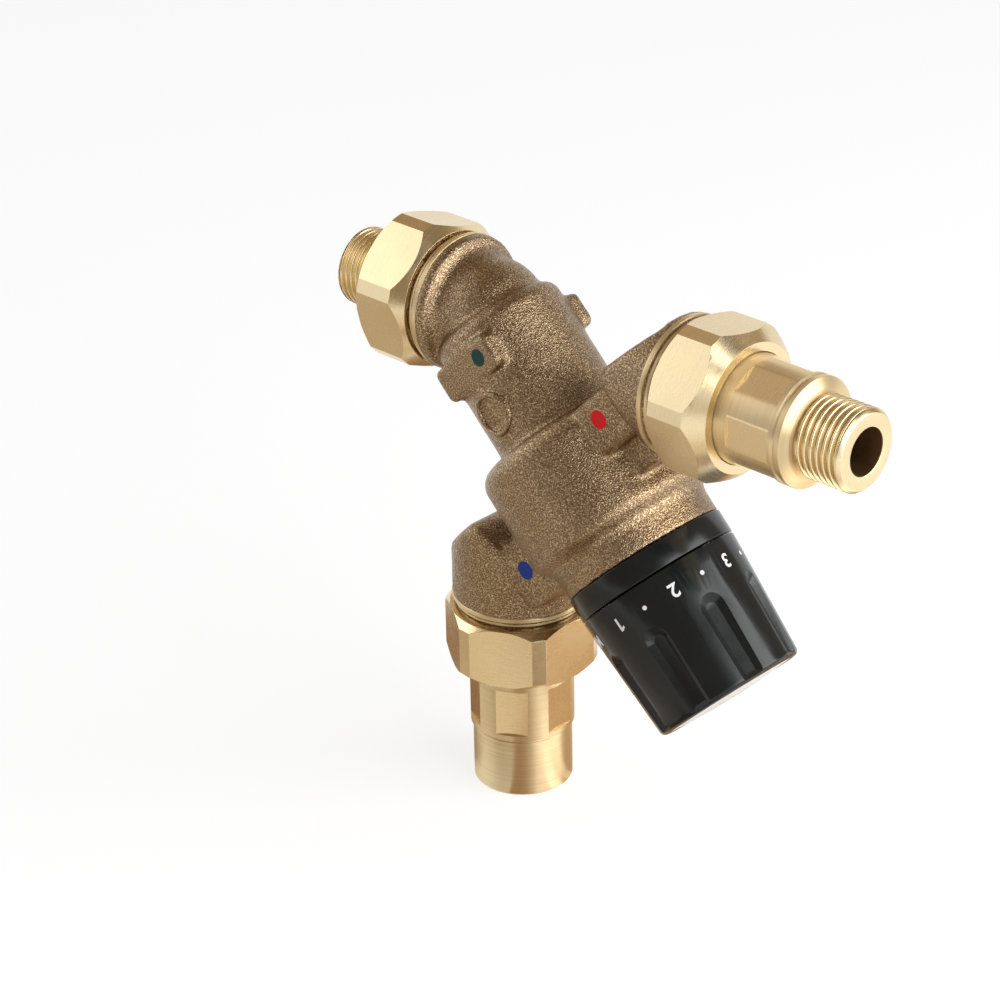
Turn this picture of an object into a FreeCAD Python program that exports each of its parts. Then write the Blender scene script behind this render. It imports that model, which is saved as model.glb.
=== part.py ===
import FreeCAD, Part
import math
import os
from types import SimpleNamespace
import Sketcher

# Tempering mixing valve: a cast Y body with three union joints, a regulating cartridge and a setting knob.
# Millimetres. The frame stands at the mouth of the cold socket, +Z up, the hot inlet towards +X.
# The mixed and hot ports share one axis; the barrel runs down from it at 45 degrees to the knob.

SIZES = {
    # Layout: distances from the point where the port axis meets the barrel axis
    "cold_offset": 8.4, "cold_reach": 132.6, "hot_reach": 119.5, "mixed_reach": 46.1,
    "hot_neck": 65.5, "cold_neck": 77.0, "mixed_neck": 10.6,
    # Casting
    "head_start": 0.5, "head_radius": 17.5, "head_round": 4.0,
    "shoulder_at": 34.5, "barrel_radius": 25.4, "shoulder_round": 5.0, "root_round": 1.0,
    "barrel_end": 62.6, "band_radius": 21.6, "step_round": 3.0, "step_length": 2.8, "body_end": 73.0,
    "neck_radius": 17.8, "neck_waist": 14.2, "waist_round": 3.2, "bead_length": 3.6, "bead_round": 1.5,
    "hot_hood_top": 32.7, "hot_hood_side": 38.0, "cold_hood_top": 41.2, "cold_hood_side": 29.0,
    "hood_apex_round": 4.0, "hood_round": 2.0, "hood_rim": 3.2, "rim_step": 0.2,
    "hot_duct_at": 42.4, "cold_duct_at": 59.5, "hot_duct_width": 14.0, "cold_duct_width": 18.0,
    "duct_breadth": 28.0, "duct_round": 1.5, "web_breadth": 18.0, "web_end_at": 57.5, "web_reach": 33.0,
    "lug_at": 10.9, "lug_length": 9.4, "lug_width": 23.6, "lug_breadth": 35.4, "lug_round": 1.8,
    "ring_at": 24.0, "ring_radius": 5.8, "ring_width": 1.2, "ring_height": 0.5,
    # Waterways in the casting
    "channel_radius": 8.8, "mixed_bore": 9.5, "port_bore": 11.0, "hood_wall": 3.0,
    "spring_seat": 25.0, "chamber_radius": 11.0, "hot_seat": 38.0, "annulus_radius": 18.0,
    "land_start": 46.0, "land_end": 54.0, "land_radius": 13.05,
    "hot_pocket_at": 42.0, "cold_pocket_at": 58.3, "pocket_width": 6.4, "pocket_breadth": 17.0,
    # Union joints, the same on all three ports
    "rim_radius": 17.2, "rim_length": 1.7, "union_thread_radius": 16.6, "union_face": 12.0,
    "gasket_thickness": 2.0, "gasket_radius": 14.9, "gasket_bore": 9.8,
    "collar_radius": 15.2, "collar_length": 3.5, "thread_clearance": 0.05, "lip_clearance": 0.3,
    "nut_gap": 2.9, "nut_length": 16.4, "nut_flats": 37.0, "nut_corner_flats": 40.6,
    "nut_slim_radius": 18.6, "nut_slim_chamfer": 2.6, "nut_broad_radius": 17.7, "nut_broad_chamfer": 4.6,
    "nut_dome_radius": 16.4, "nut_dome_chamfer": 5.4, "nut_mouth_chamfer": 0.8,
    # Tailpieces
    "shank_radius": 13.84, "shank_bore": 8.5, "pipe_thread_radius": 10.4775, "thread_bore": 6.0,
    "thread_chamfer": 1.0, "thread_root": 9.3, "bore_cone": 4.0,
    "hot_thread_length": 12.3, "flange_rim": 2.5, "flange_chamfer": 1.5, "relief_length": 0.7,
    "waist_length": 1.4, "waist_depth": 0.5,
    "mixed_shank_length": 1.6,
    "flats_across": 26.3, "flats_gap": 3.6, "flats_length": 12.6,
    "socket_radius": 13.2, "socket_length": 16.4, "socket_bore": 11.05, "socket_depth": 15.5,
    "socket_chamfer": 0.5,
    # Bonnet
    "seat_gap": 1.1, "nose_radius": 14.0, "nose_length": 2.6, "bonnet_clearance": 0.05,
    "flange_radius": 20.4, "flange_length": 4.0, "bonnet_neck": 13.5, "neck_length": 17.0, "cup_bore": 11.0,
    "cup_room": 87.5, "spindle_bore": 5.0, "bonnet_ring_at": 69.0, "bonnet_ring_section": 2.4,
    "snap_groove_at": 89.0, "snap_groove_width": 2.2, "snap_groove_depth": 0.7,
    # Index collar and setting knob
    "index_radius": 21.9, "index_length": 6.3, "index_lip": 15.0, "index_clearance": 0.05, "knob_gap": 0.5,
    "knob_radius": 21.87, "knob_end_radius": 19.9, "knob_length": 34.0, "knob_wall": 3.2, "knob_round": 1.6,
    "hub_clearance": 0.05, "hub_wall": 2.2, "web_thickness": 3.0, "boss_radius": 9.0, "boss_length": 9.0,
    "snap_clearance": 0.05,
    "disc_radius": 17.9, "disc_recess": 0.2, "disc_thickness": 1.2, "disc_clearance": 0.05, "disc_ledge": 1.8,
    "flute_width": 3.0, "flute_start": 92.5, "flute_end": 112.0, "flute_floor": 19.6, "flute_taper": 56.0,
    # Spindle and overload carrier
    "spindle_clearance": 0.05, "spindle_collar": 8.0, "spindle_collar_length": 2.3, "hex_across": 8.4,
    "hex_length": 9.0, "hex_clearance": 0.05, "stem_ring_section": 1.6, "stem_ring_at": 89.5,
    "cup_clearance": 0.05, "cup_start": 65.0, "cup_wall": 1.4, "cup_end": 84.0, "cup_floor": 2.0,
    "button_clearance": 0.3, "button_thickness": 1.8, "pin_end": 67.2, "snap_ring_width": 1.2,
    "snap_ring_depth": 0.5, "snap_ring_bore": 7.0, "overload_wire": 1.5, "overload_radius": 6.6,
    "overload_turns": 5.0,
    # Piston and temperature element
    "piston_clearance": 0.05, "piston_wall": 2.1, "hot_gap": 1.85, "piston_end": 61.4, "hub_at": 48.0,
    "hub_length": 3.0, "hub_radius": 7.0, "spoke_width": 3.0, "piston_ring_section": 1.3,
    "piston_ring_at": 50.0, "bulb_start": 16.0, "bulb_radius": 6.0, "bulb_collar": 7.0,
    "bulb_collar_length": 4.0, "element_neck": 4.0, "element_neck_end": 58.0, "pin_radius": 1.8,
    "element_clearance": 0.05, "spring_wire": 1.4, "spring_radius": 9.6, "spring_turns": 6.0,
}
NUT_TURN = {"hot": 22.5, "mixed": 46.0, "cold": 33.2}
TAIL_TURN = {"hot": 0.0, "cold": 28.5}
SPOKES = 4
FLUTES = 8
FLUTE_TURN = 19.6
FLUTE_LEAN = 2.4
OVERSIZE = 60.0


class Size:
    """A length with the expression that binds it to the sheet."""

    def __init__(self, value, text):
        self.value = value
        self.text = text

    def __add__(self, other):
        other = as_size(other)
        return Size(self.value + other.value, f"({self.text} + {other.text})")

    def __sub__(self, other):
        other = as_size(other)
        return Size(self.value - other.value, f"({self.text} - {other.text})")

    def __mul__(self, factor):
        factor = as_size(factor)
        return Size(self.value * factor.value, f"({self.text} * {factor.text})")

    def __truediv__(self, factor):
        factor = as_size(factor)
        return Size(self.value / factor.value, f"({self.text} / {factor.text})")

    def __neg__(self):
        return as_size(0) - self


def as_size(value):
    return value if isinstance(value, Size) else Size(float(value), f"({float(value)!r})")


os.makedirs("parts", exist_ok=True)
doc = FreeCAD.newDocument("tempering_valve")
sheet = doc.addObject("Spreadsheet::Sheet", "Sizes")
for row, (alias, number) in enumerate(SIZES.items(), start=1):
    sheet.set(f"A{row}", alias)
    sheet.set(f"B{row}", str(number))
    sheet.setAlias(f"B{row}", alias)
doc.recompute()
z = SimpleNamespace(**{alias: Size(number, f"Sizes.{alias}") for alias, number in SIZES.items()})
nodes = []

# Each frame has its Z along one axis of the valve; all meet at the crossing point or above the cold socket.
CROSSING = (-z.cold_offset, as_size(0), z.cold_reach)
ABOVE_COLD = (as_size(0), as_size(0), z.cold_reach)
FRAMES = {
    "diagonal": (CROSSING, 135.0),
    "hot": (CROSSING, 90.0),
    "mixed": (CROSSING, -90.0),
    "cold": (ABOVE_COLD, 180.0),
}


def place(item, frame, across=0, side=0, along=0, spin=0.0):
    """Put an object in a frame, moved across, sideways and along its axis, and spun about that axis."""
    origin, tilt = FRAMES[frame]
    turn = FreeCAD.Rotation(FreeCAD.Vector(0, 1, 0), tilt)
    local_x = turn.multVec(FreeCAD.Vector(1, 0, 0))
    local_z = turn.multVec(FreeCAD.Vector(0, 0, 1))
    across, side, along = as_size(across), as_size(side), as_size(along)
    spot = [origin[0] + across * local_x.x + along * local_z.x, origin[1] + side,
            origin[2] + across * local_x.z + along * local_z.z]
    spun = turn.multiply(FreeCAD.Rotation(FreeCAD.Vector(0, 0, 1), spin))
    item.Placement = FreeCAD.Placement(FreeCAD.Vector(*[part.value for part in spot]), spun)
    for letter, part in zip("xyz", spot):
        item.setExpression(f"Placement.Base.{letter}", part.text)
    return item


def bind(item, **sizes):
    for name, value in sizes.items():
        item.setExpression(name, as_size(value).text)
    return item


def node(item, label):
    """Register an object as a sub-part under the name of its file."""
    item.Label = label
    nodes.append(item)
    return item


def origin_plane(body, role):
    return next(item for item in body.Origin.OriginFeatures if item.Role == role)


def pin_point(sketch, geometry, spot):
    """Fix the start of one edge at its two sizes from the sketch's origin."""
    for kind, value, axis in (("DistanceX", spot[0], -2), ("DistanceY", spot[1], -1)):
        if value.value == 0:
            sketch.addConstraint(Sketcher.Constraint("PointOnObject", geometry, 1, axis))
            continue
        number = sketch.addConstraint(Sketcher.Constraint(kind, -1, 1, geometry, 1, value.value))
        sketch.setExpression(f"Constraints[{number}]", value.text)


def outline(body, name, plane, points):
    """A closed outline of straight edges whose corners are all bound to the sheet."""
    sketch = body.newObject("Sketcher::SketchObject", name)
    sketch.AttachmentSupport = (origin_plane(body, plane), [""])
    sketch.MapMode = "FlatFace"
    spots = [(as_size(first), as_size(second)) for first, second in points]
    corners = [FreeCAD.Vector(first.value, second.value, 0) for first, second in spots]
    for start, end in zip(corners, corners[1:] + corners[:1]):
        sketch.addGeometry(Part.LineSegment(start, end))
    for edge in range(len(spots)):
        sketch.addConstraint(Sketcher.Constraint("Coincident", edge, 2, (edge + 1) % len(spots), 1))
    for edge, spot in enumerate(spots):
        pin_point(sketch, edge, spot)
    return sketch


def turned(name, frame, points, rounds=()):
    """A piece turned about its frame's axis from an outline of (radius, place along the axis) corners."""
    body = doc.addObject("PartDesign::Body", name)
    sketch = outline(body, name + "_outline", "XZ_Plane", points)
    turn = body.newObject("PartDesign::Revolution", name + "_turn")
    turn.Profile = sketch
    turn.ReferenceAxis = (sketch, ["V_Axis"])
    turn.Angle = 360.0
    doc.recompute()
    last = turn
    for number, (corner, radius) in enumerate(rounds):
        edges = [f"Edge{place_in_list}" for place_in_list, edge in enumerate(last.Shape.Edges, start=1)
                 if on_circle(edge, as_size(corner[0]).value, as_size(corner[1]).value)]
        blend = body.newObject("PartDesign::Fillet", f"{name}_round_{number}")
        blend.Base = (last, edges)
        bind(blend, Radius=radius)
        body.Tip = blend
        doc.recompute()
        last = blend
    return place(body, frame)


def on_circle(edge, radius, along):
    if not isinstance(edge.Curve, Part.Circle):
        return False
    return abs(edge.Curve.Radius - radius) < 1e-3 and abs(edge.Curve.Center.z - along) < 1e-3


def block(name, frame, across, side, along):
    """A box between pairs of bounds in one frame."""
    box = doc.addObject("Part::Box", name)
    (left, right), (front, back), (near, far) = across, side, along
    bind(box, Length=as_size(right) - left, Width=as_size(back) - front, Height=as_size(far) - near)
    return place(box, frame, left, front, near)


def rod(name, frame, radius, near, far, across=0):
    cylinder = doc.addObject("Part::Cylinder", name)
    bind(cylinder, Radius=radius, Height=as_size(far) - near)
    return place(cylinder, frame, across, 0, near)


def prism(name, frame, across_flats, near, far, spin=0.0):
    hexagon = doc.addObject("Part::Prism", name)
    hexagon.Polygon = 6
    bind(hexagon, Circumradius=across_flats / math.sqrt(3), Height=as_size(far) - near)
    return place(hexagon, frame, 0, 0, near, spin)


def ball(name, frame, radius):
    sphere = doc.addObject("Part::Sphere", name)
    bind(sphere, Radius=radius)
    return place(sphere, frame)


def fuse(name, items):
    joined = doc.addObject("Part::MultiFuse", name)
    joined.Shapes = items
    joined.Refine = True
    return joined


def common(name, items):
    shared = doc.addObject("Part::MultiCommon", name)
    shared.Shapes = items
    return shared


def cut(name, base, tool):
    rest = doc.addObject("Part::Cut", name)
    rest.Base = base
    rest.Tool = tool
    return rest


def rounded(name, base, radius, chosen):
    """Round the edges of an object that a test picks by their middle points."""
    doc.recompute()
    blend = doc.addObject("Part::Fillet", name)
    blend.Base = base
    numbers = [number for number, edge in enumerate(base.Shape.Edges, start=1) if chosen(edge)]
    blend.Edges = [(number, radius.value, radius.value) for number in numbers]
    return blend


def in_frame(frame, point):
    """A point's place across, sideways and along one frame's axis."""
    origin, tilt = FRAMES[frame]
    base = FreeCAD.Vector(*[part.value for part in origin])
    return FreeCAD.Rotation(FreeCAD.Vector(0, 1, 0), -tilt).multVec(point - base)


def middle(edge):
    return edge.valueAt((edge.FirstParameter + edge.LastParameter) / 2)


def coil(label, frame, radius, wire, start, end, turns):
    """A round-wire spring between two seats."""
    body = doc.addObject("PartDesign::Body", label)
    sketch = body.newObject("Sketcher::SketchObject", label + "_wire")
    sketch.AttachmentSupport = (origin_plane(body, "XZ_Plane"), [""])
    sketch.MapMode = "FlatFace"
    first = start + wire / 2
    centre = FreeCAD.Vector(radius.value, first.value, 0)
    sketch.addGeometry(Part.Circle(centre, FreeCAD.Vector(0, 0, 1), wire.value / 2))
    pins = (("DistanceX", (-1, 1, 0, 3, radius.value), radius),
            ("DistanceY", (-1, 1, 0, 3, first.value), first),
            ("Radius", (0, wire.value / 2), wire / 2))
    for kind, spot, value in pins:
        number = sketch.addConstraint(Sketcher.Constraint(kind, *spot))
        sketch.setExpression(f"Constraints[{number}]", value.text)
    helix = body.newObject("PartDesign::AdditiveHelix", label + "_helix")
    helix.Profile = sketch
    helix.ReferenceAxis = (sketch, ["V_Axis"])
    helix.Mode = 2
    bind(helix, Height=end - start - wire, Turns=turns)
    return node(place(body, frame), label)


# Places along the axes that several pieces share
NECKS = {"hot": z.hot_neck, "cold": z.cold_neck, "mixed": z.mixed_neck}
FACES = {port: neck + z.union_face for port, neck in NECKS.items()}
COLLARS = {port: face + z.gasket_thickness for port, face in FACES.items()}
NUT_STARTS = {port: neck + z.nut_gap for port, neck in NECKS.items()}
NUT_ENDS = {port: start + z.nut_length for port, start in NUT_STARTS.items()}
SLIM = (z.nut_slim_radius, z.nut_slim_chamfer)
NUT_ENDS_TURNED = {"hot": (SLIM, (z.nut_dome_radius, z.nut_dome_chamfer)),
                   "mixed": ((z.nut_broad_radius, z.nut_broad_chamfer), SLIM), "cold": (SLIM, SLIM)}
cold_seat = z.piston_end + z.seat_gap
piston_start = z.hot_seat + z.hot_gap
bonnet_radius = z.annulus_radius - z.bonnet_clearance
flange_end = z.body_end + z.flange_length
bonnet_end = flange_end + z.neck_length
index_end = z.body_end + z.index_length
knob_start = index_end + z.knob_gap
knob_end = knob_start + z.knob_length
piston_radius = z.land_radius - z.piston_clearance
piston_inner = piston_radius - z.piston_wall
cup_radius = z.cup_bore - z.cup_clearance
cup_inner = cup_radius - z.cup_wall
stem_radius = z.spindle_bore - z.spindle_clearance


def union_neck(port, start):
    """The machined end of a neck: the cast rim, a turned ring and the union thread, up to the gasket face."""
    neck = NECKS[port]
    cast_rim = z.neck_radius - z.rim_step
    ring_end = neck + z.rim_length
    points = [(0, start), (cast_rim, start), (cast_rim, neck), (z.rim_radius, neck),
              (z.rim_radius, ring_end), (z.union_thread_radius, ring_end),
              (z.union_thread_radius, FACES[port]), (0, FACES[port])]
    return turned(f"{port}_neck", port, points)


def hood(port, root, top, side):
    """A neck drum cut off by one face along the barrel and one across it, with rounded edges."""
    reach = z.neck_radius + OVERSIZE
    drum = rod(f"{port}_drum", port, z.neck_radius, root, NECKS[port])
    bounds = (-side - OVERSIZE * 2, -side) if port == "hot" else (side, side + OVERSIZE * 2)
    wedge = block(f"{port}_wedge", "diagonal", bounds, (-reach, reach), (top, top + OVERSIZE * 2))
    edge_across = -side.value if port == "hot" else side.value

    def apex(edge):
        spot = in_frame("diagonal", middle(edge))
        return abs(spot.x - edge_across) < 1e-3 and abs(spot.z - top.value) < 1e-3

    blunt = rounded(f"{port}_blunt_wedge", wedge, z.hood_apex_round, apex)
    shell = common(f"{port}_hood", [drum, blunt])

    def rim(edge):
        spot = in_frame(port, middle(edge))
        radius = math.hypot(spot.x, spot.y)
        return abs(radius - z.neck_radius.value) < 1e-3 and spot.z < NECKS[port].value - 1e-3

    return rounded(f"{port}_soft_hood", shell, z.hood_round, rim)


def duct(port, centre, width, side):
    """The square duct that joins a hood to the barrel."""
    half = width / 2
    reach = side + z.hood_apex_round
    bounds = (-reach, 0) if port == "hot" else (0, reach)
    breadth = z.duct_breadth / 2
    box = block(f"{port}_duct", "diagonal", bounds, (-breadth, breadth), (centre - half, centre + half))

    def along_duct(edge):
        spot = in_frame("diagonal", middle(edge))
        return abs(abs(spot.y) - breadth.value) < 1e-3 and abs(abs(spot.z - centre.value) - half.value) < 1e-3

    return rounded(f"{port}_soft_duct", box, z.duct_round, along_duct)


def port_bore(port, apex):
    """The bore of a port with a cone at its inner end."""
    face = FACES[port]
    return turned(f"{port}_bore", port, [
        (0, apex), (z.port_bore, apex + z.port_bore), (z.port_bore, face), (0, face)])


def valve_body():
    step_end = z.barrel_end + z.step_length
    core = turned("barrel", "diagonal", [
        (0, z.head_start), (z.head_radius, z.head_start), (z.head_radius, z.shoulder_at),
        (z.barrel_radius, z.shoulder_at), (z.barrel_radius, z.barrel_end), (z.band_radius, step_end),
        (z.band_radius, z.body_end), (0, z.body_end)], rounds=[
            ((z.head_radius, z.head_start), z.head_round),
            ((z.barrel_radius, z.shoulder_at), z.shoulder_round),
            ((z.head_radius, z.shoulder_at), z.root_round),
            ((z.barrel_radius, z.barrel_end), z.step_round),
            ((z.band_radius, step_end), z.step_round)])
    bead = z.mixed_neck - z.bead_length
    mixed = turned("mixed_neck_drum", "mixed", [
        (0, 0), (z.neck_waist, 0), (z.neck_waist, bead), (z.neck_radius, bead), (z.neck_radius, z.mixed_neck),
        (0, z.mixed_neck)], rounds=[
            ((z.neck_waist, bead), z.waist_round), ((z.neck_radius, bead), z.bead_round)])
    lug_half = z.lug_length / 2
    lugs = block("lug_block", "diagonal", (-z.lug_width / 2, z.lug_width / 2),
                 (-z.lug_breadth / 2, z.lug_breadth / 2), (z.lug_at - lug_half, z.lug_at + lug_half))
    soft_lugs = rounded("lugs", lugs, z.lug_round,
                        lambda edge: abs(abs(middle(edge).y) - z.lug_breadth.value / 2) > 1e-3)
    ring = cut("ring_tube", side_rod("ring_outer", z.ring_radius),
               side_rod("ring_inner", z.ring_radius - z.ring_width))
    ring_skin = rod("ring_skin", "diagonal", z.head_radius + z.ring_height, z.head_start, z.shoulder_at)
    casting = fuse("casting", [
        core, mixed, ball("elbow", "mixed", z.neck_waist), soft_lugs,
        common("raised_ring", [ring, ring_skin]),
        union_neck("mixed", z.mixed_neck - z.bead_length + z.bead_round),
        union_neck("hot", z.hot_neck - z.hood_rim), union_neck("cold", z.cold_neck - z.hood_rim),
        hood("hot", z.hot_hood_side, z.hot_hood_top, z.hot_hood_side),
        hood("cold", z.cold_hood_top, z.cold_hood_top, z.cold_hood_side),
        duct("hot", z.hot_duct_at, z.hot_duct_width, z.hot_hood_side),
        duct("cold", z.cold_duct_at, z.cold_duct_width, z.cold_hood_side),
        block("hot_web", "diagonal", (-z.web_reach, 0), (-z.web_breadth / 2, z.web_breadth / 2),
              (z.hot_duct_at, z.web_end_at))])
    hot_apex = (z.hot_hood_side + z.hood_wall) * math.sqrt(2)
    cold_apex = (z.cold_hood_side + z.hood_wall) * math.sqrt(2) + z.cold_offset
    half_width = z.pocket_width / 2
    half_breadth = z.pocket_breadth / 2
    hot_deep = (hot_apex + z.port_bore) * math.sqrt(2) - z.hot_pocket_at - z.pocket_width
    cold_deep = z.cold_hood_side + z.port_bore
    waterways = fuse("waterways", [
        turned("barrel_bore", "diagonal", [
            (0, 0), (z.channel_radius, 0), (z.channel_radius, z.spring_seat),
            (z.chamber_radius, z.spring_seat), (z.chamber_radius, z.hot_seat),
            (z.annulus_radius, z.hot_seat), (z.annulus_radius, z.land_start),
            (z.land_radius, z.land_start), (z.land_radius, z.land_end), (z.annulus_radius, z.land_end),
            (z.annulus_radius, z.body_end), (0, z.body_end)]),
        rod("mixed_bore_rod", "mixed", z.mixed_bore, 0, FACES["mixed"]),
        ball("elbow_bore", "mixed", z.mixed_bore),
        port_bore("hot", hot_apex), port_bore("cold", cold_apex),
        block("hot_pocket", "diagonal", (-hot_deep, -z.chamber_radius), (-half_breadth, half_breadth),
              (z.hot_pocket_at - half_width, z.hot_pocket_at + half_width)),
        block("cold_pocket", "diagonal", (z.chamber_radius, cold_deep), (-half_breadth, half_breadth),
              (z.cold_pocket_at - half_width, z.cold_pocket_at + half_width))])
    node(cut("valve_body_cut", casting, waterways), "valve_body")


def side_rod(name, radius):
    """A rod across the head, standing out on its front side."""
    item = doc.addObject("Part::Cylinder", name)
    bind(item, Radius=radius, Height=z.head_radius)
    place(item, "diagonal", 0, -z.head_radius / 2, z.ring_at)
    item.Placement.Rotation = FreeCAD.Rotation(FreeCAD.Vector(1, 0, 0), 90)
    return item


def union_nut(port):
    start = NUT_STARTS[port]
    end = NUT_ENDS[port]
    seat = COLLARS[port] + z.collar_length
    corner = z.nut_flats / math.sqrt(3)
    mouth = z.union_thread_radius + z.thread_clearance
    lip = z.shank_radius + z.lip_clearance
    (back_radius, back_chamfer), (front_radius, front_chamfer) = NUT_ENDS_TURNED[port]
    blank = turned(f"{port}_nut_blank", port, [
        (mouth + z.nut_mouth_chamfer, start), (back_radius, start), (corner, start + back_chamfer),
        (corner, end - front_chamfer), (front_radius, end), (lip, end), (lip, seat), (mouth, seat),
        (mouth, start + z.nut_mouth_chamfer)])
    flats = prism(f"{port}_nut_flats", port, z.nut_flats, start, end, NUT_TURN[port])
    corners = prism(f"{port}_nut_corners", port, z.nut_corner_flats, start, end, NUT_TURN[port] + 30.0)
    node(common(f"{port}_nut_hex", [blank, flats, corners]), f"{port}_union_nut")


def gasket(port):
    ring = turned(f"{port}_gasket_ring", port, [
        (z.gasket_bore, FACES[port]), (z.gasket_radius, FACES[port]),
        (z.gasket_radius, COLLARS[port]), (z.gasket_bore, COLLARS[port])])
    node(ring, f"{port}_gasket")


def flats_tool(port, near, far):
    """What the spanner flats take off a shank."""
    drum = rod(f"{port}_flats_drum", port, z.collar_radius, near, far)
    core = prism(f"{port}_flats_core", port, z.flats_across, near, far, TAIL_TURN[port])
    return cut(f"{port}_flats_tool", drum, core)


def hot_tailpiece():
    seat = COLLARS["hot"]
    thread_start = z.hot_reach - z.hot_thread_length
    flange_start = thread_start - z.flange_rim - z.flange_chamfer
    waist = z.shank_radius - z.waist_depth
    waist_start = flange_start - z.waist_length
    points = [(z.shank_bore, seat), (z.collar_radius, seat), (z.collar_radius, seat + z.collar_length),
              (z.shank_radius, seat + z.collar_length), (z.shank_radius, waist_start),
              (waist, waist_start + z.waist_length / 2), (z.shank_radius, flange_start),
              (z.shank_radius, flange_start + z.flange_rim), (z.pipe_thread_radius, thread_start),
              (z.thread_root, thread_start), (z.thread_root, thread_start + z.relief_length),
              (z.pipe_thread_radius, thread_start + z.relief_length * 2),
              (z.pipe_thread_radius, z.hot_reach - z.thread_chamfer),
              (z.pipe_thread_radius - z.thread_chamfer, z.hot_reach), (z.thread_bore, z.hot_reach),
              (z.thread_bore, flange_start), (z.shank_bore, flange_start - z.bore_cone)]
    blank = turned("hot_tail_blank", "hot", points)
    near = NUT_ENDS["hot"] + z.flats_gap
    node(cut("hot_tail_cut", blank, flats_tool("hot", near, near + z.flats_length)), "hot_tailpiece")


def mixed_tailpiece():
    seat = COLLARS["mixed"]
    shank_end = NUT_ENDS["mixed"] + z.mixed_shank_length
    points = [(z.shank_bore, seat), (z.collar_radius, seat), (z.collar_radius, seat + z.collar_length),
              (z.shank_radius, seat + z.collar_length), (z.shank_radius, shank_end),
              (z.pipe_thread_radius, shank_end), (z.pipe_thread_radius, z.mixed_reach - z.thread_chamfer),
              (z.pipe_thread_radius - z.thread_chamfer, z.mixed_reach), (z.thread_bore, z.mixed_reach),
              (z.thread_bore, shank_end), (z.shank_bore, shank_end - z.bore_cone)]
    node(turned("mixed_tail", "mixed", points), "mixed_tailpiece")


def cold_tailpiece():
    seat = COLLARS["cold"]
    mouth = z.cold_reach
    step = mouth - z.socket_length
    stop = mouth - z.socket_depth
    points = [(z.shank_bore, seat), (z.collar_radius, seat), (z.collar_radius, seat + z.collar_length),
              (z.shank_radius, seat + z.collar_length), (z.shank_radius, step), (z.socket_radius, step),
              (z.socket_radius, mouth - z.socket_chamfer), (z.socket_radius - z.socket_chamfer, mouth),
              (z.socket_bore, mouth), (z.socket_bore, stop), (z.shank_bore, stop)]
    blank = turned("cold_tail_blank", "cold", points)
    near = NUT_ENDS["cold"] + z.flats_gap
    node(cut("cold_tail_cut", blank, flats_tool("cold", near, near + z.flats_length)), "cold_tailpiece")


def bonnet():
    nose_end = cold_seat + z.nose_length
    groove_low = z.bonnet_ring_at - z.bonnet_ring_section / 2
    groove_high = z.bonnet_ring_at + z.bonnet_ring_section / 2
    groove = z.annulus_radius - z.bonnet_ring_section
    snap_low = z.snap_groove_at - z.snap_groove_width / 2
    snap_high = z.snap_groove_at + z.snap_groove_width / 2
    snap = z.bonnet_neck - z.snap_groove_depth
    points = [(z.cup_bore, cold_seat), (z.nose_radius, cold_seat), (z.nose_radius, nose_end),
              (bonnet_radius, nose_end), (bonnet_radius, groove_low), (groove, groove_low),
              (groove, groove_high), (bonnet_radius, groove_high), (bonnet_radius, z.body_end),
              (z.flange_radius, z.body_end), (z.flange_radius, flange_end), (z.bonnet_neck, flange_end),
              (z.bonnet_neck, snap_low), (snap, snap_low), (snap, snap_high), (z.bonnet_neck, snap_high),
              (z.bonnet_neck, bonnet_end),
              (z.spindle_bore, bonnet_end), (z.spindle_bore, z.cup_room), (z.cup_bore, z.cup_room)]
    node(turned("bonnet_turned", "diagonal", points), "bonnet")


def seal_ring(label, centre_radius, section_radius, along):
    """A round seal ring about the barrel axis."""
    ring = doc.addObject("Part::Torus", label + "_torus")
    bind(ring, Radius1=centre_radius, Radius2=section_radius)
    node(place(ring, "diagonal", 0, 0, along), label)


def index_collar():
    inner = z.flange_radius + z.index_clearance
    lip = flange_end
    points = [(inner, z.body_end), (z.index_radius, z.body_end), (z.index_radius, index_end),
              (z.index_lip, index_end), (z.index_lip, lip), (inner, lip)]
    node(turned("index_collar_ring", "diagonal", points), "index_collar")


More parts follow.
